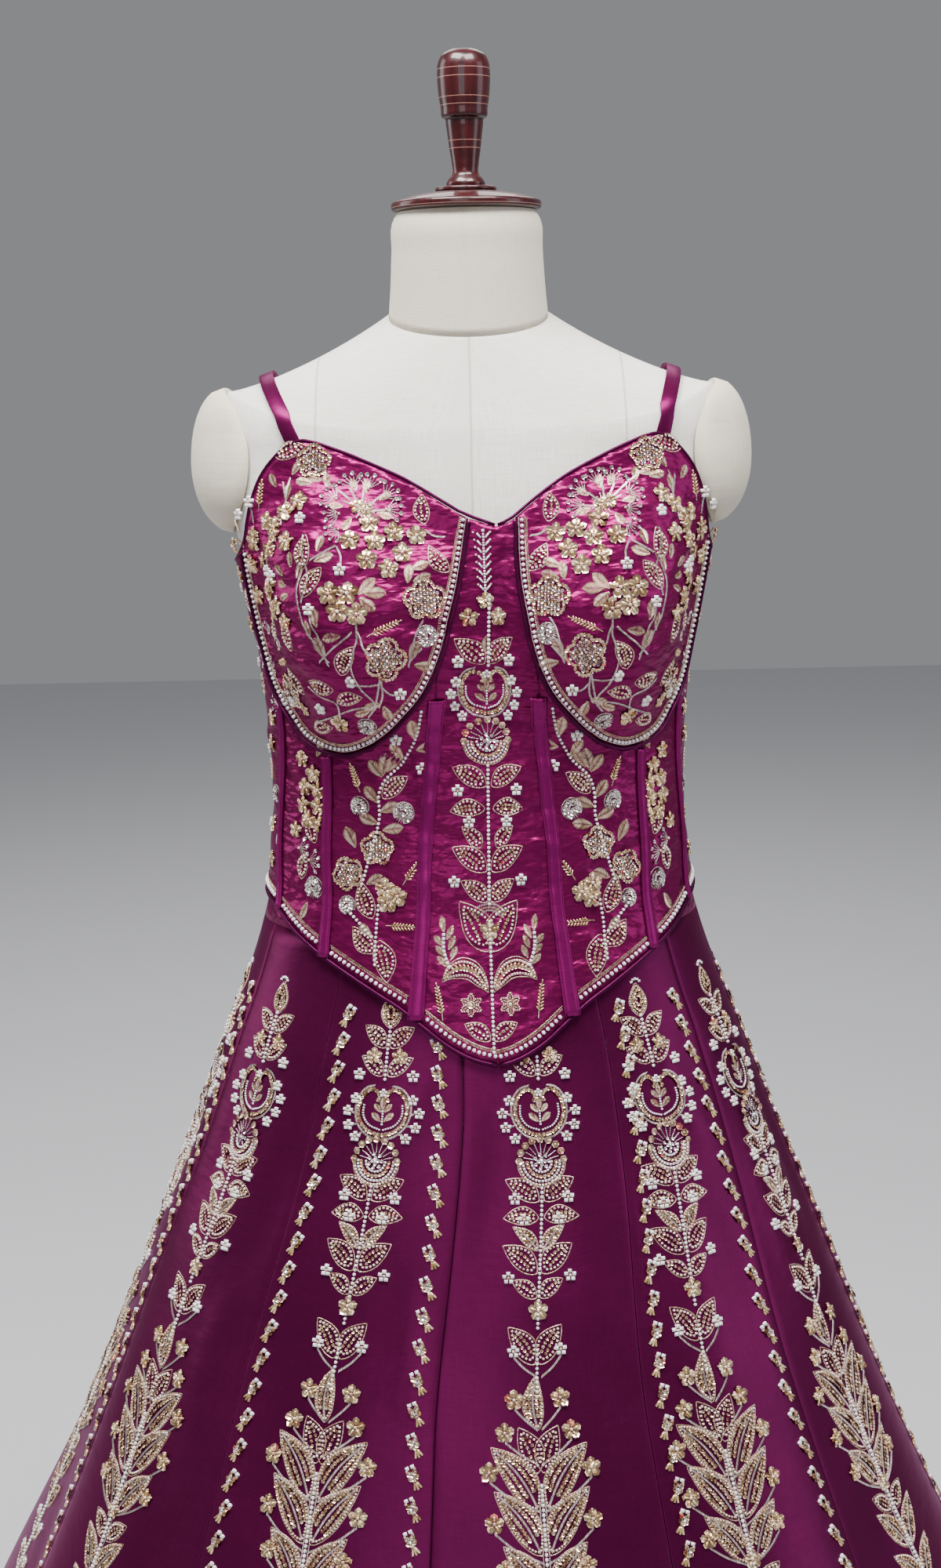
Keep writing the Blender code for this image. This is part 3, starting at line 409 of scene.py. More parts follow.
def creased(place, angle, height, creases, radius, share=1.0, deepest=0.006):
    """Moves places on a form level outwards or inwards by a table of soft ridges and troughs."""
    angle, height = np.broadcast_arrays(np.asarray(angle, float), np.asarray(height, float))
    radius = np.broadcast_to(radius, angle.shape)
    push = np.zeros(angle.shape)
    for middle, level, length, direction, width, depth in creases:
        length, width, depth = length / 1000, width / 1000, depth / 1000
        near = np.nonzero(np.abs(height - level) < length / 2 + 3 * width)
        if not near[0].size:
            continue
        turn = math.radians(direction)
        x = np.radians(wrap(angle[near] - middle)) * radius[near]
        y = height[near] - level
        along = (x * math.cos(turn) + y * math.sin(turn)) / (length / 2)
        across = y * math.cos(turn) - x * math.sin(turn) + 0.10 * length * along**2 * (1 if depth > 0 else -1)
        fade = np.clip(1 - along**2, 0, 1) ** 1.5
        narrowed = width * (1.15 - 0.45 * along**2 * (along > 0))
        push[near] += share * depth * fade * np.exp(-((across / narrowed) ** 2))
    push = np.maximum(push, -deepest)
    return pushed(place, push)


def choli_cloth(angle, height):
    """The choli's form with its pull creases, those of the cups alike on both sides."""
    place = choli_form(angle, height)
    place = creased(place, np.abs(wrap(angle)), height, CUP_CREASES, FIT_RADIUS, 1.9, 0.0021)
    return creased(place, angle, height, CORSET_CREASES, FIT_RADIUS, 1.9, 0.0021)


def skirt_cloth(angle, height):
    """The skirt's form with the soft breaks of its satin."""
    reach = np.interp(height, (HEM_HEIGHT, SKIRT_TOP), (0.60, 0.17))
    return creased(skirt_form(angle, height), angle, height, SKIRT_CREASES, reach)


def arc_lengths(grid):
    """How far each point of a grid lies across its row from the middle column, and up its column."""
    across = np.linalg.norm(np.diff(grid, axis=1), axis=-1)
    across = np.concatenate([np.zeros((len(grid), 1)), np.cumsum(across, axis=1)], axis=1)
    across -= across[:, grid.shape[1] // 2][:, None]
    up = np.linalg.norm(np.diff(grid, axis=0), axis=-1)
    up = np.concatenate([np.zeros((1, grid.shape[1])), np.cumsum(up, axis=0)], axis=0)
    return np.stack([across, up], -1)


def in_scene(name, data):
    """A new object in the scene, at the world's origin."""
    made = bpy.data.objects.new(name, data)
    bpy.context.scene.collection.objects.link(made)
    return made


def new_object(name, points, faces, finish, uv=None):
    """A mesh at the world's origin from its points and faces, with a UV place in metres for each point."""
    mesh = bpy.data.meshes.new(name)
    mesh.from_pydata(np.asarray(points).tolist(), [], faces)
    mesh.materials.append(finish)
    mesh.shade_smooth()
    if uv is not None:
        layer = mesh.uv_layers.new(name="cloth")
        corners = np.empty(len(mesh.loops), np.int32)
        mesh.loops.foreach_get("vertex_index", corners)
        layer.data.foreach_set("uv", np.asarray(uv, np.float32)[corners].ravel())
    return in_scene(name, mesh)


def grid_faces(rows, columns, ring=False):
    wide = columns if ring else columns - 1
    return [
        tuple(a * columns + b % columns for a, b in ((i, j), (i, j + 1), (i + 1, j + 1), (i + 1, j)))
        for i in range(rows - 1)
        for j in range(wide)
    ]


def apply_modifier(piece, kind, **settings):
    """Adds one modifier to a piece and applies it."""
    made = piece.modifiers.new(kind.title(), kind)
    for name, value in settings.items():
        setattr(made, name, value)
    bpy.context.view_layer.objects.active = piece
    with bpy.context.temp_override(object=piece, active_object=piece, selected_objects=[piece]):
        bpy.ops.object.modifier_apply(modifier=made.name)


def area_of(grid):
    """The area of a grid of points, and its widest row and longest column."""
    a, b = grid[:-1, 1:] - grid[:-1, :-1], grid[1:, :-1] - grid[:-1, :-1]
    area = np.linalg.norm(np.cross(a, b), axis=-1).sum()
    width = np.linalg.norm(np.diff(grid, axis=1), axis=-1).sum(axis=1).max()
    length = np.linalg.norm(np.diff(grid, axis=0), axis=-1).sum(axis=0).max()
    return float(area), float(width), float(length)


def finish_piece(piece, nodes):
    """Lets a piece ride on the garment's one body and stand for its CAD nodes."""
    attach(piece, BODY)
    if nodes:
        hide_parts(*nodes)


def declare_sheet(grid):
    area, width, length = area_of(grid)
    width, length = width * FLAT_ALLOWANCE, length * FLAT_ALLOWANCE


def cloth_shell(name, points, finish="satin", thickness=SHELL):
    """A thin shell of satin on a grid of points, its outer side on the cloth's form."""
    faces = grid_faces(*points.shape[:2])
    uv = arc_lengths(points).reshape(-1, 2)
    piece = new_object(name + "_cloth", points.reshape(-1, 3), faces, material(finish), uv)
    apply_modifier(piece, "SOLIDIFY", thickness=thickness, offset=-1.0)
    finish_piece(piece, [name])
    declare_sheet(points)


def linear(colour):
    """An sRGB hex colour, such as #7A1258, as linear red, green, blue and alpha."""
    parts = [int(colour[i : i + 2], 16) / 255 for i in (1, 3, 5)]
    return tuple(p / 12.92 if p <= 0.04045 else ((p + 0.055) / 1.055) ** 2.4 for p in parts) + (1.0,)


def set_inputs(node, inputs):
    """Gives a node's inputs their values. A socket is linked, and a node's first output is."""
    for key, value in inputs.items():
        if isinstance(value, bpy.types.Node):
            value = value.outputs[0]
        if isinstance(value, bpy.types.NodeSocket):
            node.id_data.links.new(value, node.inputs[key])
        else:
            node.inputs[key].default_value = value


def add_node(tree, kind, inputs=None, stops=(), **settings):
    """Adds a shader node with its settings, its inputs and, for a ramp, its stops of place and colour."""
    made = tree.nodes.new("ShaderNode" + kind)
    for name, value in settings.items():
        setattr(made, name, value)
    set_inputs(made, inputs or {})
    for k, (place, colour) in enumerate(stops):
        elements = made.color_ramp.elements
        element = elements[k] if k < 2 else elements.new(place)
        element.position, element.color = place, linear(colour)
    return made


def new_material(name):
    made = bpy.data.materials.new(name)
    made.use_nodes = True
    return made, made.node_tree, made.node_tree.nodes["Principled BSDF"]


def make_satin(name, dark, middle, light, rough, puckers):
    """Heavy silk satin, mill woven: long warp floats give a soft sheen, with faint slubs in the yarn."""
    made, tree, shader = new_material(name)
    uv = add_node(tree, "UVMap", uv_map="cloth")
    place = add_node(tree, "TexCoord").outputs["Object"]
    # Yarn is 0.1 mm, too fine to show: slubs are drawn 0.9 mm wide and 20 mm long
    slubs = add_node(tree, "Mapping", {"Vector": uv, "Scale": (1100, 46, 1)})
    slubs = add_node(tree, "TexNoise", {"Vector": slubs, "Scale": 1.0, "Detail": 2.0})
    picks = add_node(tree, "Mapping", {"Vector": uv, "Scale": (60, 900, 1)})
    picks = add_node(tree, "TexNoise", {"Vector": picks, "Scale": 1.0, "Detail": 1.0})
    yarn = add_node(tree, "Math", {0: slubs, 1: picks}, operation="ADD")
    clouds = add_node(tree, "TexNoise", {"Vector": place, "Scale": 9.0, "Detail": 2.0, "Roughness": 0.5})
    tone = add_node(tree, "Math", {0: yarn, 1: 0.22, 2: 0.58}, operation="MULTIPLY_ADD")
    tone = add_node(tree, "Math", {0: clouds, 1: 0.44, 2: tone}, operation="MULTIPLY_ADD")
    tone = add_node(tree, "Math", {0: tone, 1: 0.5}, operation="MULTIPLY")
    colour = add_node(tree, "ValToRGB", {"Fac": tone}, ((0.38, dark), (0.52, middle), (0.66, light)))
    # The stitching draws the cloth into small puckers, wider than they are tall
    drawn = add_node(tree, "Mapping", {"Vector": place, "Scale": (34, 34, 74)})
    drawn = add_node(tree, "TexNoise", {"Vector": drawn, "Scale": 1.0, "Detail": 2.5, "Roughness": 0.55})
    soft = add_node(tree, "Bump", {"Height": drawn, "Strength": puckers, "Distance": 0.0075})
    fine = add_node(tree, "Bump", {"Height": yarn, "Strength": 0.20, "Distance": 0.0002, "Normal": soft})
    set_inputs(shader, {"Base Color": colour, "Normal": fine, "Roughness": rough, "Metallic": 0.62})
    set_inputs(shader, {"Specular IOR Level": 0.25, "Specular Tint": linear("#E884C8")})
    return made


def marked(tree, value, at, core, edge):
    """How much of a thin line at a value shows: most within its core, and none past its edge."""
    off = add_node(tree, "Math", {0: value, 1: at}, operation="SUBTRACT")
    off = add_node(tree, "Math", {0: off}, operation="ABSOLUTE")
    inputs = {"Value": off, "From Min": core, "From Max": edge, "To Min": 0.6, "To Max": 0.0}
    return add_node(tree, "MapRange", inputs)


def make_canvas(name, dark, light, seams):
    """Natural linen canvas, plain weave, stretched over padding: matt, its yarns thick and thin both ways."""
    made, tree, shader = new_material(name)
    place = add_node(tree, "TexCoord").outputs["Object"]
    uv = add_node(tree, "UVMap", uv_map="cloth")
    # Yarns are 0.5 mm apart, drawn 0.9 mm apart so that they show
    warp = add_node(tree, "Mapping", {"Vector": uv, "Scale": (1100, 50, 1)})
    warp = add_node(tree, "TexNoise", {"Vector": warp, "Scale": 1.0, "Detail": 2.0})
    weft = add_node(tree, "Mapping", {"Vector": uv, "Scale": (50, 1100, 1)})
    weft = add_node(tree, "TexNoise", {"Vector": weft, "Scale": 1.0, "Detail": 2.0})
    weave = add_node(tree, "Math", {0: warp, 1: weft}, operation="ADD")
    patches = add_node(tree, "TexNoise", {"Vector": place, "Scale": 9.0, "Detail": 3.0})
    tone = add_node(tree, "Math", {0: patches, 1: 0.7, 2: weave}, operation="MULTIPLY_ADD")
    tone = add_node(tree, "Math", {0: tone, 1: 0.37}, operation="MULTIPLY")
    colour = add_node(tree, "ValToRGB", {"Fac": tone}, ((0.36, dark), (0.62, light)))
    bump = {"Height": weave, "Strength": 0.35, "Distance": 0.0004}
    if seams:
        # Thin upright seams: one at the centre, and one over each side of the bust
        x = add_node(tree, "SeparateXYZ", {"Vector": place}).outputs["X"]
        aside = add_node(tree, "Math", {0: x}, operation="ABSOLUTE")
        centre = marked(tree, x, FORM_CENTRE_SEAM, 0.0002, 0.0011)
        princess = marked(tree, aside, FORM_PRINCESS_SEAM, 0.0002, 0.0011)
        groove = add_node(tree, "Math", {0: centre, 1: princess}, operation="MAXIMUM")
        mixed = {"Factor": groove, "A": colour, "B": linear("#A9A296")}
        colour = add_node(tree, "Mix", mixed, data_type="RGBA").outputs["Result"]
        drawn = {"Height": groove, "Strength": 0.8, "Distance": 0.0010}
        bump["Normal"] = add_node(tree, "Bump", drawn, invert=True)
    set_inputs(shader, {"Base Color": colour, "Normal": add_node(tree, "Bump", bump), "Roughness": 0.92})
    set_inputs(shader, {"Sheen Weight": 0.15, "Specular IOR Level": 0.2})
    return made


def make_mahogany(name, dark, light):
    """Turned hardwood, stained dark red and lacquered to a gloss, worn pale in its fine grooves."""
    made, tree, shader = new_material(name)
    place = add_node(tree, "TexCoord").outputs["Object"]
    grain = add_node(tree, "Mapping", {"Vector": place, "Scale": (260, 260, 22)})
    grain = add_node(tree, "TexNoise", {"Vector": grain, "Scale": 1.0, "Detail": 4.0})
    colour = add_node(tree, "ValToRGB", {"Fac": grain}, ((0.36, dark), (0.66, light)))
    height = add_node(tree, "SeparateXYZ", {"Vector": place}).outputs["Z"]
    for at in GROOVE_HEIGHTS:
        groove = marked(tree, height, at, 0.0001, 0.00032)
        mixed = {"Factor": groove, "A": colour, "B": linear("#B98A7C")}
        colour = add_node(tree, "Mix", mixed, data_type="RGBA").outputs["Result"]
    set_inputs(shader, {"Base Color": colour, "Roughness": 0.34, "Specular IOR Level": 0.3})
    set_inputs(shader, {"Coat Weight": 0.45, "Coat Roughness": 0.04, "Coat Tint": linear("#FFE9E4")})
    return made


def make_steel(name):
    """Drawn steel tube, satin brushed round its length."""
    made, tree, shader = new_material(name)
    place = add_node(tree, "TexCoord").outputs["Object"]
    lines = add_node(tree, "Mapping", {"Vector": place, "Scale": (30, 30, 900)})
    lines = add_node(tree, "TexNoise", {"Vector": lines, "Scale": 1.0, "Detail": 3.0})
    colour = add_node(tree, "ValToRGB", {"Fac": lines}, ((0.3, "#6F7073"), (0.7, "#8C8D90")))
    bump = add_node(tree, "Bump", {"Height": lines, "Strength": 0.15, "Distance": 0.0002})
    set_inputs(shader, {"Base Color": colour, "Normal": bump, "Metallic": 1.0, "Roughness": 0.32})
    return made


def make_trim(name, stops, rough, metallic, coat=0.0):
    """Small sewn-on pieces, each with its own shade from the attribute that its maker gives it."""
    made, tree, shader = new_material(name)
    tint = add_node(tree, "Attribute", attribute_name="tint").outputs["Fac"]
    place = add_node(tree, "TexCoord").outputs["Object"]
    speckle = add_node(tree, "TexNoise", {"Vector": place, "Scale": 900.0, "Detail": 1.0})
    shade = add_node(tree, "Math", {0: speckle, 1: 0.16, 2: tint}, operation="MULTIPLY_ADD")
    shade = add_node(tree, "Math", {0: shade, 1: 0.08}, operation="SUBTRACT")
    colour = add_node(tree, "ValToRGB", {"Fac": shade}, stops)
    set_inputs(shader, {"Base Color": colour, "Roughness": rough, "Metallic": metallic})
    set_inputs(shader, {"Coat Weight": coat, "Coat Roughness": 0.08})
    return made


def material(name):
    """The named finish, made once from the settings' colours."""
    if name in bpy.data.materials and bpy.data.materials[name].get("finish"):
        return bpy.data.materials[name]
    c = bpy.context.scene.lehenga
    rough = c.satin_roughness
    # The coral stop at the top of the sequins' ramp is a painted glint: the few sequins with the highest tint are
    # coloured coral red
    gold = ((0.05, "#8F6A4A"), (0.35, c.sequin), (0.70, "#E6CBA8"), (0.90, "#EBC0AE"), (0.99, "#F08A78"))
    maker, *values = {
        "satin": (make_satin, c.satin_shadow, c.satin, c.satin_light, rough, 0.85),
        # The skirt's satin is the choli's satin in darker colours, as painted shade; the skirt hangs free, so its
        # satin lies smooth
        "skirt_satin": (make_satin, "#42072E", "#520B38", "#640F45", rough + 0.03, 0.07),
        "piping": (make_satin, "#22041A", c.piping, "#520E3E", rough + 0.06, 0.1),
        "channel": (make_satin, "#5A0A40", "#7A1258", "#96206E", rough + 0.04, 0.06),
        "canvas": (make_canvas, "#C9C6BC", c.canvas, True),
        "neck_canvas": (make_canvas, "#C4BDAC", c.neck_canvas, False),
        "mahogany": (make_mahogany, "#22050A", c.wood),
        "pole_steel": (make_steel,),
        "seed_pearl": (make_trim, ((0.1, "#D6CFCC"), (0.6, c.pearl)), 0.22, 0.0, 0.6),
        "glass_bead": (make_trim, ((0.2, "#B98F7C"), (0.5, "#E2BFA8"), (0.85, "#F3E3D2")), 0.20, 0.25, 0.8),
        "sequin": (make_trim, gold, 0.15, 0.90),
        "silver_sequin": (make_trim, ((0.1, "#9A8F8A"), (0.5, "#D8CEC8"), (0.9, "#F4F0EC")), 0.18, 0.85),
        "zari": (make_trim, ((0.1, "#8A6A50"), (0.5, c.zari), (0.9, "#EFDCC6")), 0.34, 0.75),
        "silver_zari": (make_trim, ((0.1, "#9C8784"), (0.5, "#CDBBB4"), (0.9, "#EFE6E0")), 0.32, 0.75),
        "gold_bugle": (make_trim, ((0.1, "#9A7746"), (0.5, "#D9B880"), (0.9, "#F2DDB4")), 0.16, 0.65, 0.6),
    }[name]
    made = maker(name, *values)
    made["finish"] = True
    return made


def panel_grids():
    """Every panel of the choli's body on the +X side as a fine grid of places, the centre ones whole."""
    cup = np.asarray(CUP_SEAM)
    centre_edge = resampled(list(CENTRE_SEAM) + list(cup[4::-1]), 96)
    grids = {
        "front_centre": patch(
            edge_points(HEM, between(-CENTRE_SEAM[0][0], CENTRE_SEAM[0][0], 26)),
            edge_points(NECKLINE, between(-cup[0, 0], cup[0, 0], 26)),
            mirrored(centre_edge),
            centre_edge,
        )
    }
    hem = edge_points(HEM, between(CENTRE_SEAM[0][0], MIDDLE_SEAM[0][0], 20))
    seams = resampled(CENTRE_SEAM, 48), resampled(MIDDLE_SEAM, 48)
    grids["front_side"] = patch(hem, resampled(cup[5:12], 20), *seams)
    hem = edge_points(HEM, between(MIDDLE_SEAM[0][0], SIDE_SEAM[0][0], 12))
    seams = resampled(MIDDLE_SEAM, 44), resampled(SIDE_SEAM, 44)
    grids["side_front"] = patch(hem, resampled(cup[11:15], 12), *seams)
    underarm = resampled(list(SIDE_SEAM) + list(cup[15:]), 56)
    hem = edge_points(HEM, between(SIDE_SEAM[0][0], BACK_SEAM_ANGLE, 16))
    top = edge_points(NECKLINE, between(cup[-1, 0], BACK_SEAM_ANGLE, 16))
    grids["side"] = patch(hem, top, underarm, back_seam(57))
    line = back_seam(51)
    centre_back = np.stack([np.full(51, 180.0), between(HEM[-1][1], NECKLINE[-1][1], 50)], -1)
    angles = between(BACK_SEAM_ANGLE, 180.0, 28)
    grids["back"] = patch(edge_points(HEM, angles), edge_points(NECKLINE, angles), line, centre_back)
    return {name: inset(grid) for name, grid in grids.items()}


def make_choli_panels():
    for name, grid in panel_grids().items():
        sides = {"": grid} if name == "front_centre" else {"_left": grid[:, ::-1] * (-1, 1), "_right": grid}
        for suffix, places in sides.items():
            cloth_shell(name + suffix, choli_cloth(places[..., 0], places[..., 1]))


def cup_line(count):
    """The cup's whole edge on the +X side as one closed line of places."""
    top = [row for row in NECKLINE if CUP_SEAM[0][0] < row[0] < CUP_SEAM[-1][0]]
    below = resampled(CUP_SEAM, round(count * 0.62))
    above = resampled([CUP_SEAM[-1]] + top[::-1] + [CUP_SEAM[0]], count - round(count * 0.62))
    return np.concatenate([below[:-1], above[:-1]])


def make_cup(name, side):
    """A moulded cup: rings of cloth from its seam in to the bust point, with its dart and pull creases."""
    outline = cup_line(120)
    middle = np.array([BUST_ANGLE + 3, BUST_HEIGHT + 0.018])
    outline = drawn_in(outline, np.broadcast_to(middle, outline.shape), closed=True)
    shares = np.linspace(1, 0.03, 30)[:, None, None]
    places = (middle + shares * (outline - middle))[:, :: -side]
    places = np.concatenate([places, places[:, :1]], axis=1) * (side, 1)
    points = choli_cloth(places[..., 0], places[..., 1])
    rows, columns = points.shape[:2]
    centre = choli_cloth(np.array([middle[0] * side]), np.array([middle[1]]))
    flat = points[:, :-1].reshape(-1, 3)
    columns -= 1
    faces = [face[::-1] for face in grid_faces(rows, columns, ring=True)]
    last = (rows - 1) * columns
    faces += [(last + (j + 1) % columns, last + j, rows * columns) for j in range(columns)]
    every = np.concatenate([flat, centre])
    turn = np.degrees(np.arctan2(every[:, 0], -every[:, 1]))
    uv = np.stack([np.radians(turn) * FIT_RADIUS, every[:, 2]], -1)
    piece = new_object(name + "_cloth", every, faces, material("satin"), uv)
    outwards(piece, centre[0])
    apply_modifier(piece, "SOLIDIFY", thickness=SHELL, offset=-1.0)
    finish_piece(piece, [name])


def outwards(piece, near):
    """Turns a shell's faces outwards, judged at the face closest to a point on its outer side."""
    mesh = piece.data
    centres = np.array([p.center for p in mesh.polygons])
    face = mesh.polygons[int(np.argmin(np.linalg.norm(centres - near, axis=1)))]
    if face.normal.x * near[0] + face.normal.y * near[1] < 0:
        mesh.flip_normals()


def cord(node, path, radius, sides=10):
    """A round cord in satin along a smooth path, closed at both ends."""
    along = np.gradient(path, axis=0)
    along /= np.linalg.norm(along, axis=1)[:, None]
    outward = path * (1, 1, 0)
    side = np.cross(along, outward)
    side /= np.linalg.norm(side, axis=1)[:, None]
    up = np.cross(along, side)
    length = run_along(path)
    turn = np.radians(np.arange(sides) * 360 / sides)
    # The bias strip round the cord twists and draws in a little, unevenly
    puff = 1 + 0.05 * np.sin(length * 900) * np.sin(length * 170 + 1.0) + 0.03 * np.sin(length * 2300)
    ring = np.cos(turn)[None, :, None] * side[:, None] + np.sin(turn)[None, :, None] * up[:, None]
    points = path[:, None] + radius * puff[:, None, None] * ring
    uv = np.stack(np.broadcast_arrays(turn[None] * radius, length[:, None]), -1)
    faces = grid_faces(len(path), sides, ring=True)
    faces.append(tuple(range(sides))[::-1])
    faces.append(tuple((len(path) - 1) * sides + j for j in range(sides)))
    piece = new_object(node + "_cord", points.reshape(-1, 3), faces, material("piping"), uv.reshape(-1, 2))
    finish_piece(piece, [node])


def make_pipings():
    """Bias piping on the top edge, the hem and the cup seams, in the same places as the CAD solids."""
    top = edge_points(NECKLINE, between(0, 180, 130))
    hem = edge_points(HEM, between(0, 180, 130))
    for suffix, side in (("_left", -1), ("_right", 1)):
        for name, line, radius, shift in (
            ("top_piping", top, PIPING_RADIUS, 1),
            ("hem_piping", hem, HEM_PIPING_RADIUS, -1),
        ):
            places = beside(line, shift * radius * 0.75)
            places[0, 0] = math.degrees(radius / FIT_RADIUS) * 0.4
            places[-1, 0] = 180 - math.degrees(SEAM_GAP / FIT_RADIUS)
            places *= (side, 1)
            path = moved_out(choli_cloth, places[:, 0], places[:, 1], radius - CLOTH)
            cord(name + suffix, path, radius)
        seam = resampled(CUP_SEAM, 110)
        seam[0, 1] -= 2 * PIPING_RADIUS
        seam[-1, 1] -= 2 * PIPING_RADIUS
        seam *= (side, 1)
        path = moved_out(choli_cloth, seam[:, 0], seam[:, 1], PIPING_RADIUS + LIFT * 0.35)
        cord("cup_piping" + suffix, path, PIPING_RADIUS)


# A channel's section. Columns: place across, share of the height
CHANNEL_PROFILE = (
    (-1, 0.1), (-0.97, 0.62), (-0.86, 0.66), (-0.8, 0.36), (-0.74, 0.7), (-0.5, 0.92), (0, 1), (0.5, 0.92),
    (0.74, 0.7), (0.8, 0.36), (0.86, 0.66), (0.97, 0.62), (1, 0.1),
)


def make_channel(name, seam, side, short_of_cup):
    """A satin channel over a flat bone: a raised strip with a row of stitches sunk along each edge."""
    top = seam[-1][1] - short_of_cup
    line = resampled(seam, 80)
    line = line[line[:, 1] < top]
    line[0, 1] -= CHANNEL_OVER_HEM
    line = line * (side, 1)
    half_turn = math.degrees(CHANNEL_WIDTH / 2 / FIT_RADIUS)
    across = np.array([row[0] for row in CHANNEL_PROFILE])
    rise = np.array([row[1] for row in CHANNEL_PROFILE]) * (LIFT + CHANNEL_DEPTH)
    angles = line[:, :1] + half_turn * across[None]
    heights = np.broadcast_to(line[:, 1:], angles.shape)
    pull = 1 + 0.05 * np.sin(line[:, 1:] * 410 + side) * np.sin(line[:, 1:] * 97)
    points = moved_out(choli_cloth, angles, heights, rise[None] * pull)
    cloth_shell(name, points, finish="channel", thickness=CHANNEL_SHELL)


def make_channels():
    for suffix, side in (("_left", -1), ("_right", 1)):
        for name, seam, short_of_cup in (
            ("channel_centre", CENTRE_SEAM, 0.0200),
            ("channel_middle", MIDDLE_SEAM, 0.0032),
            ("channel_side", SIDE_SEAM, 0.0062),
        ):
            make_channel(name + suffix, seam, side, short_of_cup)


def copy_of_node(name):
    """A welded copy of a CAD node's mesh, to be shaped further."""
    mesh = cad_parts[name].data.copy()
    mesh.materials.clear()
    piece = in_scene(name + "_cloth", mesh)
    bpy.context.view_layer.objects.active = piece
    piece.select_set(True)
    bpy.ops.object.mode_set(mode="EDIT")
    bpy.ops.mesh.select_all(action="SELECT")
    bpy.ops.mesh.remove_doubles(threshold=WELD_DISTANCE)
    bpy.ops.mesh.tris_convert_to_quads()
    bpy.ops.object.mode_set(mode="OBJECT")
    piece.select_set(False)
    return piece


def make_straps():
    """Flat satin straps, turned out and pressed, with soft folded edges."""
    for suffix in ("_left", "_right"):
        piece = copy_of_node("strap" + suffix)
        # The straps take the darker copy of the satin, as painted shade
        piece.data.materials.append(material("skirt_satin"))
        corner = math.radians(40)
        apply_modifier(piece, "BEVEL", width=0.0005, segments=2, limit_method="ANGLE", angle_limit=corner)
        piece.data.shade_smooth()
        points = np.array([v.co for v in piece.data.vertices])
        turn = np.arctan2(points[:, 2] - STRAP_HUB, -points[:, 1])
        layer = piece.data.uv_layers.new(name="cloth")
        corners = np.array([loop.vertex_index for loop in piece.data.loops])
        uv = np.stack([points[:, 0] + 0.3 * points[:, 1], turn * FIT_RADIUS], -1)
        layer.data.foreach_set("uv", uv[corners].astype(np.float32).ravel())
        finish_piece(piece, ["strap" + suffix])


def make_skirt():
    """Twelve shaped panels, each a thin shell of satin on the flared form, and the waistband's lengths."""
    for k, (before, after) in enumerate(zip(PANEL_SEAMS[:-1], PANEL_SEAMS[1:])):
        heights = np.linspace(HEM_HEIGHT, SKIRT_TOP, 74)[:, None]
        middle = np.full_like(heights, (before + after) / 2)
        radius = np.linalg.norm(skirt_form(middle, heights)[..., :2], axis=-1)
        gap = np.degrees(SEAM_GAP / 2 / radius)
        # The seam allowances behind pull the edges in, so the panels meet in a shallow groove
        share = np.concatenate([[0.0, 0.006, 0.02], np.linspace(0.06, 0.94, 14), [0.98, 0.994, 1.0]])[None]
        angles = before + gap + (after - before - 2 * gap) * share
        heights = np.broadcast_to(heights, angles.shape)
        points = skirt_cloth(angles, heights)
        edge = np.minimum(share, 1 - share)
        sunk = SEAM_SINK * np.exp(-((edge / 0.010) ** 2))
        points = pushed(points, -sunk)
        # The panels take the choli's satin in darker colours, as painted shade
        cloth_shell(f"kali_{k + 1:02d}", points, "skirt_satin")
    end = math.degrees(SEAM_GAP / 2 / FIT_RADIUS)
    for name, start in (("waistband_front", -90.0), ("waistband_back", 90.0)):
        angles = between(start + end, start + 180 - end, 60)[None]
        heights = np.linspace(SKIRT_TOP + SEAM_GAP, WAISTBAND_TOP, 6)[:, None]
        cloth_shell(name, skirt_form(*np.broadcast_arrays(angles, heights)))


def unit_shape(points, faces):
    return np.asarray(points, float), np.asarray(faces, int)


def ring_of(count, radius, height, start=0.0):
    turn = np.radians(start + np.arange(count) * 360 / count)
    return [(radius * math.cos(t), radius * math.sin(t), height) for t in turn]


def stacked(rings, cap):
    """Triangles between rings of points, with a flat cap on the last ring if asked."""
    count = len(rings[0])
    points = [p for ring in rings for p in ring]
    faces = []
    for i in range(len(rings) - 1):
        for j in range(count):
            a, b = i * count + j, i * count + (j + 1) % count
            faces += [(a, b, b + count), (a, b + count, a + count)]
    if cap:
        last = (len(rings) - 1) * count
        faces += [(last, last + j, last + j + 1) for j in range(1, count - 1)]
    return unit_shape(points, faces)


# Unit shapes, about 1 long, 1 wide and 1 tall, on the cloth at z = 0. They are open below, where the cloth is
PEARL = stacked([ring_of(5, 0.44, -0.1), ring_of(5, 0.52, 0.45, 36), ring_of(5, 0.26, 1.0)], True)
SEED = stacked([ring_of(4, 0.60, -0.1, 45), ring_of(4, 0.52, 0.8, 45)], True)
# A cupped sequin has its rim up. The small one is a plain cup, the silver one shows the hole at its bottom
SEQUIN = unit_shape(ring_of(6, 0.50, 1.0) + [(0, 0, 0.1)], [(j, (j + 1) % 6, 6) for j in range(6)])
HOLED_SEQUIN = stacked([ring_of(7, 0.50, 1.0), ring_of(7, 0.15, 0.15, 8)], False)
BUGLE = unit_shape(
    [(x, y, z) for x in (-0.5, 0.5) for y, z in ((-0.5, -0.1), (-0.34, 0.8), (0.34, 0.8), (0.5, -0.1))],
    [(0, 4, 5), (0, 5, 1), (1, 5, 6), (1, 6, 2), (2, 6, 7), (2, 7, 3), (0, 1, 2), (0, 2, 3), (4, 6, 5), (4, 7, 6)],
)
# A stitch is a small roof with its ridge along the thread
STITCH = unit_shape([(-0.5, 0, 0.8), (0, -0.5, -0.1), (0.5, 0, 0.8), (0, 0.5, -0.1)], [(0, 1, 2), (0, 2, 3)])
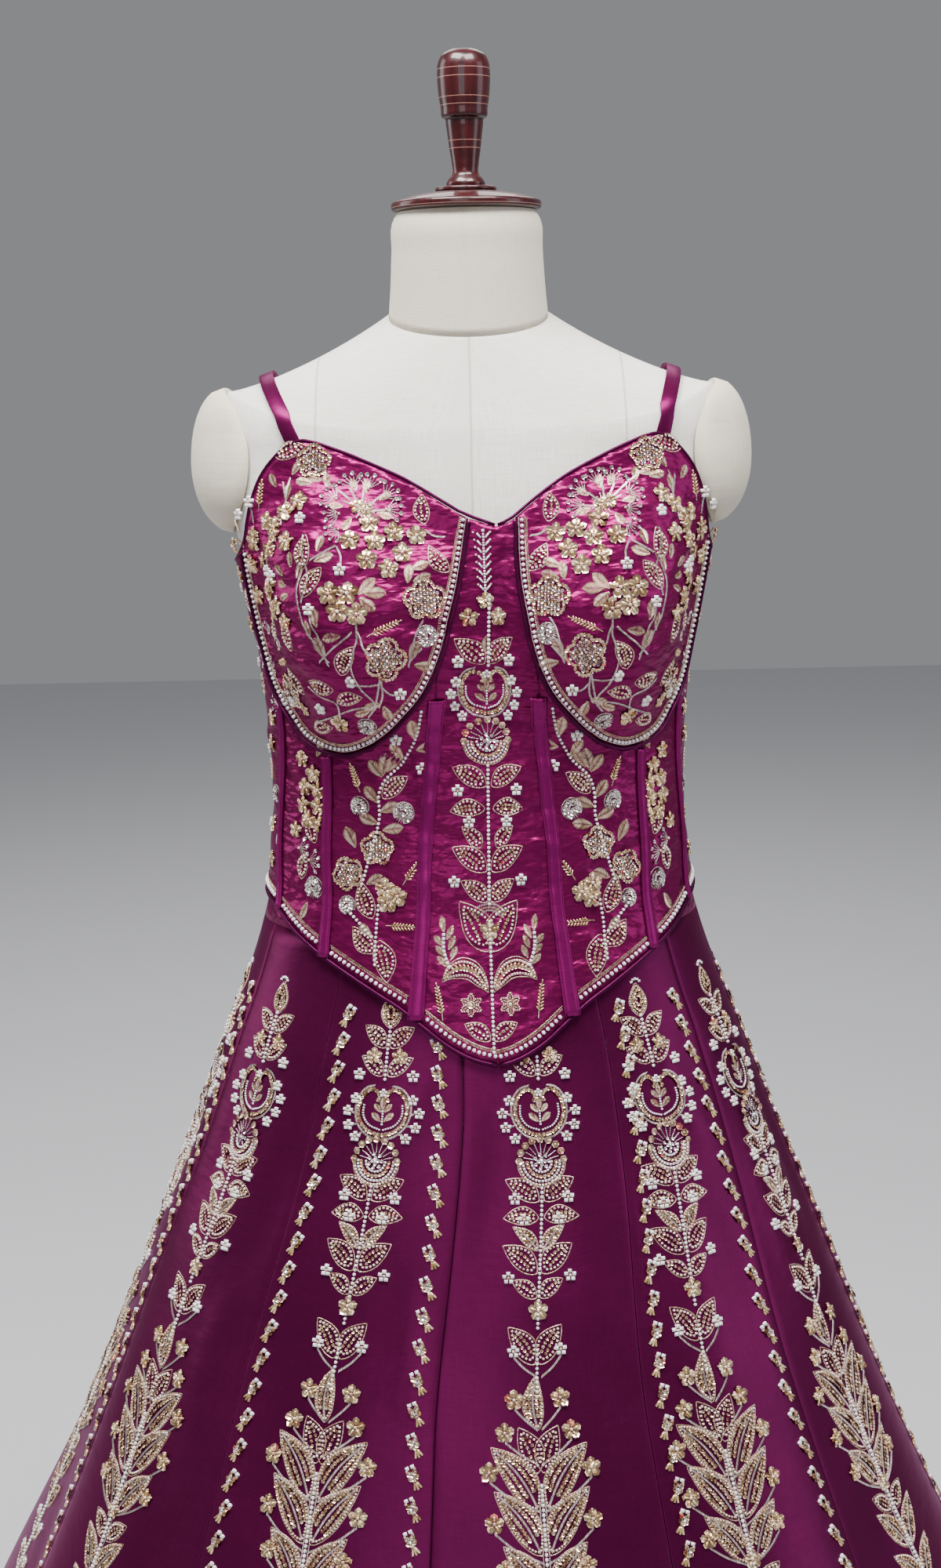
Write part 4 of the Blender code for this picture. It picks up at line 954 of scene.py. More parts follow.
# What is sewn on: its shape, its finish, and how far it may tilt
KINDS = {
    "pearl": (PEARL, "seed_pearl", 0.04),
    "white": (SEED, "seed_pearl", 0.06),
    "glass": (SEED, "glass_bead", 0.06),
    "sequin": (SEQUIN, "sequin", 0.20),
    "silver": (HOLED_SEQUIN, "silver_sequin", 0.20),
    "thread": (STITCH, "zari", 0.0),
    "pale": (STITCH, "silver_zari", 0.0),
    "bugle": (BUGLE, "gold_bugle", 0.05),
    "white_bugle": (BUGLE, "seed_pearl", 0.05),
}


def toward(turn):
    """A step of one in this direction."""
    return np.array([math.cos(math.radians(turn)), math.sin(math.radians(turn))])


def arc(radius, start, end, centre=(0.0, 0.0), steps=40):
    turn = np.radians(np.linspace(start, end, steps))
    return np.stack([centre[0] + radius * np.cos(turn), centre[1] + radius * np.sin(turn)], -1)


def leaf_edge(length, width, bend=0.0, share=1.0):
    """A leaf's outline along +x, from its base round its tip and back. A share below 1 draws it smaller."""
    s = np.linspace(0, 1, 28)
    half = width / 2 * share * np.sin(math.pi * s**0.85) ** 0.85
    x = length * (0.5 + (s - 0.5) * share)
    middle = bend * np.sin(math.pi * x / length)
    return np.concatenate([np.stack([x, middle + half], -1), np.stack([x, middle - half], -1)[-2::-1]])


class Needlework:
    """Work sewn on one cloth: motifs are laid stitch by stitch, then built as one mesh."""

    def __init__(self, cloth, form, keep=None, seed=7):
        self.cloth = cloth
        self.form = form
        self.keep = keep
        self.random = np.random.default_rng(seed)
        self.rows = {kind: [] for kind in KINDS}
        self.turn, self.flip, self.shift = 0.0, 1, (0.0, 0.0)

    def frames(self, cloth, angle, height):
        """How wide a degree and how tall a metre is here, the lean between them, and the cloth's own axes."""
        turn, rise = 0.5, 0.0025
        across = (cloth(angle + turn, height) - cloth(angle - turn, height)) / (2 * turn)
        up = (cloth(angle, height + rise) - cloth(angle, height - rise)) / (2 * rise)
        wide = np.linalg.norm(across, axis=-1)
        level = across / wide[..., None]
        lean = np.sum(up * level, axis=-1)
        upward = up - lean[..., None] * level
        tall = np.linalg.norm(upward, axis=-1)
        upward = upward / tall[..., None]
        return wide, lean, tall, level, upward, np.cross(level, upward)

    def at(self, angle, height, flip=1):
        """Puts a motif's origin at a place on the cloth, mirrored or not."""
        self.origin = (angle, height)
        self.metric = [float(m[0]) for m in self.frames(self.form, np.array([angle]), np.array([height]))[:3]]
        self.flip = flip
        self.shift = (0.0, 0.0)
        self.turn = 0.0

    def draw(self, motif, size, x=0.0, y=0.0, turn=0.0, **more):
        """Draws a motif with its origin x and y away, turned so that its own +x points at an angle."""
        kept = self.turn, self.shift
        c, s = toward(self.turn)
        self.shift = (self.shift[0] + x * c - y * s, self.shift[1] + x * s + y * c)
        self.turn += turn
        MOTIFS[motif](self, size, **more)
        self.turn, self.shift = kept

    def lay(self, kind, points, way=0.0, size=(2.0, 2.0, 1.0), tint=0.5, lift=0.0):
        """Sews pieces of one kind at points in the motif's own millimetres."""
        points = np.atleast_2d(np.asarray(points, float))
        count = len(points)
        c, s = toward(self.turn)
        x = (points[:, 0] * c - points[:, 1] * s + self.shift[0]) * self.flip / 1000
        y = (points[:, 0] * s + points[:, 1] * c + self.shift[1]) / 1000
        way = np.broadcast_to(way, count) + self.turn
        way = way if self.flip > 0 else 180 - way
        wide, lean, tall = self.metric
        angle = self.origin[0] + (x - y / tall * lean) / wide
        self.add(kind, angle, self.origin[1] + y / tall, way, size, tint, lift)

    def add(self, kind, angle, height, way, size, tint, lift):
        count = len(angle)
        sizes = np.broadcast_to(np.asarray(size, float), (count, 3)) / 1000
        tint = np.broadcast_to(tint, count) + self.random.normal(0, 0.19, count)
        lift = np.broadcast_to(lift, count) / 1000
        self.rows[kind].append(np.column_stack([angle, height, way, sizes, tint, lift]))

    def follow(self, line, pitch, kind, size, slant=0.0, tint=0.5, lift=0.0):
        """Sews pieces at an even pitch along a line of the motif."""
        line = np.asarray(line, float)
        along = run_along(line)
        count = max(1, round(along[-1] / pitch))
        at = (np.arange(count) + 0.5) * along[-1] / count
        points = np.stack([np.interp(at, along, line[:, k]) for k in (0, 1)], -1)
        ahead = np.stack([
            np.interp(at + 0.4, along, line[:, k]) - np.interp(at - 0.4, along, line[:, k]) for k in (0, 1)
        ])
        way = np.degrees(np.arctan2(ahead[1], ahead[0])) + slant
        self.lay(kind, points, way, size, tint, lift)

    def thread(self, line, kind="thread"):
        self.follow(line, 1.4, kind, (2.1, 1.0, 0.6))

    def rope(self, line, kind="pale"):
        self.follow(line, 1.2, kind, (3.0, 1.1, 1.2), slant=40)

    def beads(self, line, pitch=2.5, kind="white", across=2.2):
        self.follow(line, pitch, kind, (across, across, across * 0.7))

    def sew(self, places, pitch, kind, size, aside=0.0, slant=0.0, tint=0.5, lift=0.0, start=0.5):
        """Sews pieces along a line of places on the cloth, this many millimetres to its left."""
        line = resampled(places, 260)
        points = self.cloth(line[:, 0], line[:, 1])
        along = run_along(points) * 1000
        at = np.arange(start * pitch, along[-1], pitch)
        angle, height = (np.interp(at, along, line[:, k]) for k in (0, 1))
        ahead = np.gradient(points, axis=0)
        ahead = np.stack([np.interp(at, along, ahead[:, k]) for k in range(3)], -1)
        wide, lean, tall, level, upward, _ = self.frames(self.form, angle, height)
        way = np.arctan2(np.sum(ahead * upward, -1), np.sum(ahead * level, -1))
        x, y = -np.sin(way) * aside / 1000, np.cos(way) * aside / 1000
        angle = angle + (x - y / tall * lean) / wide
        self.add(kind, angle, height + y / tall, np.degrees(way) + slant, size, tint, lift)

    def braid(self, places, aside=0.0, width=2.0, kind="thread", side=1):
        """A flat plait of zari: stitches laid towards each other in pairs."""
        for across, slant in ((0.27, -40), (-0.27, 40)):
            size = (width * 0.85, 0.75, 0.75)
            self.sew(places, 1.45, kind, size, aside * side + across * width, slant, lift=0.1)

    def build(self, name):
        points, faces, tints, slots, finishes = [], [], [], [], []
        total = 0
        for kind, gathered in self.rows.items():
            if not gathered:
                continue
            rows = np.concatenate(gathered)
            if self.keep is not None:
                rows = rows[self.keep(rows[:, 0], rows[:, 1])]
            (shape, triangles), finish, tilt = KINDS[kind]
            count = len(rows)
            place = self.cloth(rows[:, 0], rows[:, 1])
            _, _, _, level, upward, outward = self.frames(self.cloth, rows[:, 0], rows[:, 1])
            way = np.radians(rows[:, 2])[:, None]
            ahead = np.cos(way) * level + np.sin(way) * upward
            aside = np.cross(outward, ahead)
            lean = self.random.normal(0, tilt, (count, 2)) if tilt else np.zeros((count, 2))
            local = shape[None] * rows[:, None, 3:6]
            height = local[..., 2] + rows[:, 7:8] + lean[:, :1] * local[..., 0] + lean[:, 1:] * local[..., 1]
            made = place[:, None] + local[..., :1] * ahead[:, None] + local[..., 1:2] * aside[:, None]
            points.append((made + height[..., None] * outward[:, None]).reshape(-1, 3))
            index = triangles[None] + (total + np.arange(count) * len(shape))[:, None, None]
            faces.append(index.reshape(-1, 3))
            tints.append(np.repeat(rows[:, 6], len(shape)))
            if finish not in finishes:
                finishes.append(finish)
            slots.append(np.full(count * len(triangles), finishes.index(finish)))
            total += count * len(shape)
        return mesh_of(name, *(np.concatenate(part) for part in (points, faces, tints, slots)), finishes)


def mesh_of(name, points, faces, tints, slots, finishes):
    """One mesh from arrays of points and triangles, with a shade for each point."""
    mesh = bpy.data.meshes.new(name)
    mesh.vertices.add(len(points))
    mesh.vertices.foreach_set("co", points.astype(np.float32).ravel())
    mesh.loops.add(faces.size)
    mesh.loops.foreach_set("vertex_index", faces.astype(np.int32).ravel())
    mesh.polygons.add(len(faces))
    mesh.polygons.foreach_set("loop_start", np.arange(0, faces.size, 3, dtype=np.int32))
    mesh.polygons.foreach_set("material_index", slots.astype(np.int32))
    mesh.update(calc_edges=True)
    mesh.validate()
    layer = mesh.attributes.new("tint", "FLOAT", "POINT")
    layer.data.foreach_set("value", tints.astype(np.float32))
    mesh.shade_smooth()
    for finish in finishes:
        mesh.materials.append(material(finish))
    made = in_scene(name, mesh)
    finish_piece(made, [])
    return made


def leaf_row(length, width, bend, share, start, end, steps=20):
    """A line along a leaf, this share of the way from its rib to its edge."""
    s = np.linspace(start, end, steps)
    half = width / 2 * np.sin(math.pi * s**0.85) ** 0.85
    return np.stack([s * length, bend * np.sin(math.pi * s) + share * half], -1)


def sequin_leaf(work, length, width=None, bend=None):
    """An outlined leaf with seed beads inside its edge, filled with rows of sequins."""
    width = width or length * 0.52
    bend = length * 0.07 if bend is None else bend
    work.thread(leaf_edge(length, width, bend))
    work.follow(leaf_edge(length, width, bend, 0.76), 3.0, "glass", (1.9, 1.9, 1.5), tint=0.68)
    for share in (-0.24, 0.24) if width > 12 else (0,):
        line = leaf_row(length, width, bend, share, 0.22, 0.80)
        work.follow(line, 3.2, "sequin", (2.6, 2.6, 0.8), lift=0.3)


def chip_leaf(work, length, width=None, bend=None):
    """A broad leaf filled with sequins on both sides of a stitched rib."""
    width = width or length * 0.40
    bend = length * 0.08 if bend is None else bend
    work.thread(leaf_edge(length, width, bend))
    work.rope(leaf_row(length, width, bend, 0, 0.04, 0.96, 30))
    for side in (-1, 1):
        for share in (0.36, 0.74) if width > 13 else (0.50,):
            line = leaf_row(length, width, bend, side * share, 0.22, 0.86)
            work.follow(line, 3.1, "sequin", (3.3, 3.3, 0.8), tint=0.46, lift=0.2)
    work.follow(leaf_edge(length, width, bend, 0.90), 2.4, "glass", (1.8, 1.8, 1.3))


def zari_leaf(work, length, width=None, bend=0.0):
    """A small leaf worked in slanted satin stitch of zari on both sides of its rib."""
    width = width or length * 0.52
    count = max(4, round(length / 1.05))
    s = (np.arange(count) + 0.6) / (count + 0.4)
    half = width / 2 * np.sin(math.pi * s**0.85) ** 0.85
    middle = bend * np.sin(math.pi * s)
    size = np.stack([np.maximum(half * 1.5, 1.1), np.full(count, 1.05), np.full(count, 0.65)], -1)
    for side in (-1, 1):
        points = np.stack([s * length + half * 0.25, middle + side * half * 0.5], -1)
        work.lay("thread", points, side * 52, size, tint=0.5 + 0.12 * side)


def mini_flower(work, size=8.4):
    """A round of five white seed beads about a gold one."""
    work.lay("white", arc(size * 0.34, 18, 306, steps=5), 0, (size * 0.36, size * 0.36, size * 0.28))
    work.lay("glass", (0, 0), 0, (size * 0.25, size * 0.25, size * 0.24))


def gold_flower(work, size=14.0):
    """Five round sequins, each held by a short gold bugle, about a bead."""
    turns = 90 + np.arange(5) * 72.0
    petals = np.stack([np.cos(np.radians(turns)), np.sin(np.radians(turns))], -1)
    round_petal = (size * 0.44, size * 0.44, size * 0.07)
    work.lay("sequin", petals * size * 0.30, turns, round_petal, tint=0.56, lift=0.15)
    work.lay("bugle", petals * size * 0.26, turns, (size * 0.26, size * 0.12, size * 0.10), lift=0.5)
    work.lay("glass", petals * size * 0.45, 0, (1.4, 1.4, 1.2), lift=0.3)
    work.lay("glass", (0, 0), 0, (size * 0.17, size * 0.17, size * 0.16), lift=0.3)


def silver_flower(work, size=14.0):
    """A half-open flower seen from the side: a fan of pale zari strokes that end in silver sequins."""
    foot = np.array([-size * 0.40, 0.0])
    for turn in np.linspace(-54, 54, 7):
        way = toward(turn)
        work.follow(foot + np.outer((0.14, 0.62), way) * size, 1.9, "pale", (2.4, 0.8, 0.8))
    rim = arc(size * 0.74, -48, 48, foot, 4)
    work.lay("silver", rim, 0, (size * 0.22, size * 0.22, 1.0), lift=0.3)
    work.lay("glass", foot, 0, (size * 0.15, size * 0.15, 1.6))


def silver_rose(work, size=14.0):
    """A rose of scalloped silver sequins in rounds, open at one side over a fan of strokes."""
    for radius, count, across in ((0.40, 11, 0.23), (0.235, 7, 0.21), (0.07, 2, 0.20)):
        points = arc(size * radius, -140, 140, steps=count)
        work.lay("silver", points, 0, (size * across, size * across, 0.9), lift=0.35 + 1.2 * (0.4 - radius))
    work.thread(arc(size * 0.52, -150, 150, steps=40), "pale")
    for turn in (150, 165, 180, 195, 210):
        x, y = toward(turn)
        work.lay("pale", (x * size * 0.34, y * size * 0.34), turn, (size * 0.42, 0.9, 0.6))


def poppy(work, size=25.0):
    """A half-open flower seen from the side, its scalloped petals filled with overlapping small sequins."""
    reach = size * 0.48
    centre = np.array([-size * 0.08, 0.0])
    turn = np.linspace(-180, 180, 120)
    scallop = reach * (0.80 + 0.30 * np.abs(np.cos(np.radians(turn * 2.5))) ** 0.7)
    scallop *= 1 - 0.30 * (np.abs(turn) / 180) ** 2.5
    edge = centre + np.stack([scallop * np.cos(np.radians(turn)), scallop * np.sin(np.radians(turn))], -1)
    work.follow(edge, 2.5, "sequin", (3.0, 3.0, 1.0), tint=0.62, lift=0.3)
    pitch = 2.85
    rows = int(reach / (pitch * 0.866)) + 1
    places = [(i, j) for j in range(-rows, rows + 1) for i in range(-7, 8)]
    grid = [(i * pitch + (j % 2) * pitch / 2, j * pitch * 0.866) for i, j in places]
    grid = np.array(grid)
    bearing = np.degrees(np.arctan2(grid[:, 1], grid[:, 0]))
    inside = np.linalg.norm(grid, axis=1) < 0.82 * np.interp(bearing, turn, scallop)
    grid = grid[inside] + centre
    work.lay("sequin", grid[::2], 0, (2.7, 2.7, 1.0), tint=0.52, lift=0.2)
    work.lay("silver", grid[1::2], 0, (2.7, 2.7, 1.0), tint=0.4, lift=0.2)
    for at in (-100, 0, 100):
        way = toward(at)
        spoke = centre + np.outer((0.20, 0.92), way) * reach
        work.follow(spoke, 1.8, "thread", (2.2, 0.9, 1.4), tint=0.2, lift=0.4)


def bugle_sprig(work, length=22.0):
    """A fern of gold bugles in pairs on a zari stem."""
    stem = curve([(0, 0), (length * 0.5, length * 0.03), (length * 0.92, 0)])
    work.thread(stem)
    count = max(3, round(length / 3.6))
    for k in range(count):
        x = length * (0.20 + 0.70 * k / count)
        reach = 2.6 - 1.0 * k / count
        for side in (-1, 1):
            work.lay("bugle", (x + reach * 0.5, side * reach * 0.62), side * 46, (reach * 1.35, 1.15, 1.0))
    work.lay("bugle", (length * 0.95, 0), 0, (2.6, 1.1, 1.0))


def starburst(work, size=20.0):
    """Rays of pale zari about a ring of beads."""
    for k in range(14):
        turn = k * 360 / 14
        x, y = toward(turn)
        reach = size * (0.34 if k % 2 else 0.27)
        for step in (0.45, 0.9):
            work.lay("pale", (x * reach * step, y * reach * step), turn, (reach * 0.55, 1.1, 0.6))
        work.lay("glass", (x * reach * 1.30, y * reach * 1.30), 0, (1.4, 1.4, 1.0))
    work.lay("white", arc(size * 0.10, 0, 300, steps=6), 0, (1.7, 1.7, 1.2))
    work.lay("white", (0, 0), 0, (1.8, 1.8, 1.4))


def rosette(work, size=35.0):
    """A round bowl of beads and sequins, with a fan of strokes above it that ends in big cupped sequins."""
    unit = size / 2
    for turn in np.linspace(14, 166, 9):
        way = toward(turn)
        work.follow(np.outer((0.34, 0.72), way) * unit, 2.0, "pale", (2.6, 0.9, 0.9))
    ring = arc(unit * 0.88, 2, 178, steps=9)
    work.lay("sequin", ring, 0, (unit * 0.31, unit * 0.31, 1.5), tint=0.62, lift=0.4)
    work.lay("glass", ring, 0, (1.6, 1.6, 1.4), tint=0.2, lift=0.5)
    t = np.radians(np.linspace(0, 180, 60))
    bowl = np.stack([-np.cos(t) * 0.96, 0.06 - 1.06 * np.sin(t) ** 0.92], -1) * unit
    work.thread(bowl)
    rows = (
        (0.92, "glass", 2.4, 2.1), (0.77, "white", 2.5, 2.1),
        (0.60, "sequin", 3.0, 3.2), (0.42, "white", 2.4, 2.0),
    )
    for share, kind, pitch, across in rows:
        work.follow(bowl * share, pitch, kind, (across, across, across * 0.55), tint=0.6, lift=0.15)
    for radius, count in ((0.27, 7), (0.12, 4)):
        points = arc(unit * radius, 0, 360 - 360 / count, (0, 0), count)
        work.lay("silver", points, 0, (2.9, 2.9, 0.9), tint=0.75, lift=0.5)
    work.lay("white", (0, 0), 0, (2.2, 2.2, 2.0), lift=0.4)


def ring_volute(work, size=17.7):
    """A ring whose two ends curl inwards at its top, with a small sprig inside and bead flowers about it."""
    unit = size / 17.7
    for side in (-1, 1):
        end = [(4.2, 6.0), (2.4, 8.6), (3.6, 12.0), (8.4, 14.6), (13.8, 11.0), (17.0, 3.0)]
        body = [(16.6, -5.0), (12.6, -12.4), (6.4, -16.6), (0.4, -18.0)]
        line = curve(np.array(end + body) * (side * unit, unit), 90)
        work.follow(line, 2.6, "sequin", (3.3, 3.3, 0.9), lift=0.3)
        outer = [(6.6, 17.2), (12.4, 15.6), (18.4, 8.6), (19.8, -1), (16.6, -11.6), (9.2, -18.8), (0.6, -21)]
        outer = curve(np.array(outer) * (side * unit, unit), 70)
        work.rope(outer)
        inner = [(13.6, 4.0), (13.6, -4.0), (9.6, -10.6), (0.6, -14.6)]
        inner = curve(np.array(inner) * (side * unit, unit), 50)
        work.beads(inner, 1.9, "white", 1.5)
        for x, y in ((21, 7), (26, -2), (24, -12), (18, -20)):
            work.rope(curve([(x * 0.80 * side, y * 0.80 - 2), (x * 0.92 * side, y * 0.92 - 0.6)], 8))
            work.draw("mini_flower", 8.2, x * side * unit, y * unit)
        work.draw("zari_leaf", 9.0 * unit, side * 1.2, -9, 90 - side * 46)
        work.draw("zari_leaf", 8.0 * unit, side * 1.0, -2, 90 - side * 40)
    work.draw("zari_leaf", 9.0 * unit, 0, 0, 90)
    work.beads([(0, -12), (0, 0)], 2.0, "white", 1.6)
    work.draw("mini_flower", 6.4, 0, 12 * unit)


def crescent(work, size=22.0):
    """A shallow arch of zari and sequins, horns down."""
    rows = (0.56, "pale", 1.3, 2.4), (0.46, "thread", 1.3, 2.6), (0.37, "pale", 1.3, 2.0)
    for radius, kind, pitch, across in rows:
        line = arc(size * radius, 28, 152, (0, -size * 0.26))
        work.follow(line, pitch, kind, (across, 1.0, 1.0), slant=60)


def tulip_spray(work, size=24.0):
    """A stem of white beads with pale zari leaves on both sides and one at its top."""
    stem = curve([(0, 0), (size * 0.35, -size * 0.06), (size * 0.70, 0)])
    work.beads(stem, 3.2, "white", 2.7)
    for k, place in enumerate((0.10, 0.30, 0.50)):
        for side in (-1, 1):
            along = size * (place + 0.05 * side)
            work.draw("zari_leaf", size * 0.30, along, side * 1.4, side * 38, width=size * 0.13)
    work.draw("zari_leaf", size * 0.32, size * 0.70, 0, 0, width=size * 0.14)


def paisley(work, size=24.0):
    """A broad leaf that curls over at its tip, filled with sequins and bugles inside a beaded edge."""
    back = np.array([(0, 0), (0.16, 0.24), (0.46, 0.44), (0.80, 0.38), (0.98, 0.12), (0.96, -0.22)]) * size
    front = np.array([(0, 0), (0.26, 0.03), (0.50, 0.05), (0.70, -0.03), (0.84, -0.12), (0.95, -0.24)]) * size
    back, front = curve(back, 50), curve(front, 50)
    work.thread(back)
    work.thread(front)
    rows = (0.82, "glass", 2.3, 2.1), (0.18, "glass", 2.3, 2.1), (0.50, "sequin", 2.9, 3.2)
    for share, kind, pitch, across in rows:
        line = (front + (back - front) * share)[3:-3]
        work.follow(line, pitch, kind, (across, across, across * 0.5), tint=0.64, lift=0.2)
    work.follow((front + (back - front) * 0.62)[14:-12], 3.2, "bugle", (3.4, 1.5, 1.5), slant=50, lift=0.6)


def six_petal(work, size=14.0):
    """Six beaded petals about a sequin."""
    for turn in np.arange(6) * 60.0 + 30:
        work.draw("bead_petal", size * 0.5, 0, 0, turn)
    work.lay("sequin", (0, 0), 0, (size * 0.3, size * 0.3, 1.0), lift=0.4)
    work.lay("white", (0, 0), 0, (1.8, 1.8, 1.6), lift=0.6)


def bead_petal(work, length):
    work.follow(leaf_edge(length, length * 0.52), 1.7, "glass", (1.4, 1.4, 1.0))
    work.lay("thread", (length * 0.55, 0), 0, (length * 0.6, 1.3, 0.6))


def pod(work, size=26.0):
    """A rounded bud: sequins inside a beaded edge, under a small crown of beads."""
    edge = leaf_edge(size, size * 0.62)
    work.thread(edge)
    rows = (0.86, "glass", 1.8, 1.5), (0.66, "sequin", 2.6, 2.9), (0.34, "sequin", 2.6, 2.9)
    for share, kind, pitch, across in rows:
        line = leaf_edge(size, size * 0.62, 0, share)
        work.follow(line, pitch, kind, (across, across, across * 0.4), lift=0.15)
    work.lay("white", arc(4.4, -60, 60, (size - 1.0, 0), 5), 0, (2.1, 2.1, 1.5))


def bead_drop(work, size=17.0):
    """The small scattered figure: two white beads, a knot of sequins, and a tail of bugles."""
    unit = size / 17
    for turn in (-22, 0, 22):
        way = toward(turn)
        start = np.array([6.8, 0]) - way * 4.2
        work.lay("bugle", np.array([start[0], way[1] * 3.4]) * unit, -turn, (6.0 * unit, 1.8, 1.5), tint=0.55)
    knot = [(7.6, 2.0), (7.6, -2.0), (10.6, 1.9), (10.6, -1.9)]
    work.lay("sequin", np.array(knot) * unit, 0, (4.2, 4.2, 1.3), tint=0.55, lift=0.2)
    work.lay("silver", np.array([(9.2, 0), (6.6, 0)]) * unit, 0, (4.2, 4.2, 1.2), lift=0.9)
    knots = np.array([(6.0, 0), (12.4, 2.6), (12.4, -2.6)]) * unit
    work.lay("glass", knots, 0, (2.2, 2.2, 1.8), tint=0.35, lift=0.3)
    work.lay("white", np.array([(14.2, 1.8), (14.2, -1.8)]) * unit, 0, (3.2, 3.2, 2.4))


def pearl_sprig(work, length=36.0):
    """A stem of white seed beads with pairs of white bugle leaves, rising to a bud."""
    work.beads([(0, 0), (length, 0)], 2.1, "white", 1.7)
    for k in range(round(length / 5.5)):
        x = 2.0 + k * 5.5
        for side in (-1, 1):
            work.lay("white_bugle", (x + 1.6, side * 2.5), side * 40, (4.4, 1.3, 1.1))
            work.lay("glass", (x + 3.9, side * 4.6), 0, (1.7, 1.7, 1.3))
    work.lay("white", (length + 1.6, 0), 0, (2.4, 2.4, 1.8))


MAKERS = (
    (sequin_leaf, chip_leaf, zari_leaf, mini_flower, gold_flower, silver_flower, silver_rose, poppy)
    + (bugle_sprig, starburst, rosette, ring_volute, crescent, tulip_spray, paisley, six_petal)
    + (bead_petal, pod, bead_drop, pearl_sprig)
)
MOTIFS = {maker.__name__: maker for maker in MAKERS}


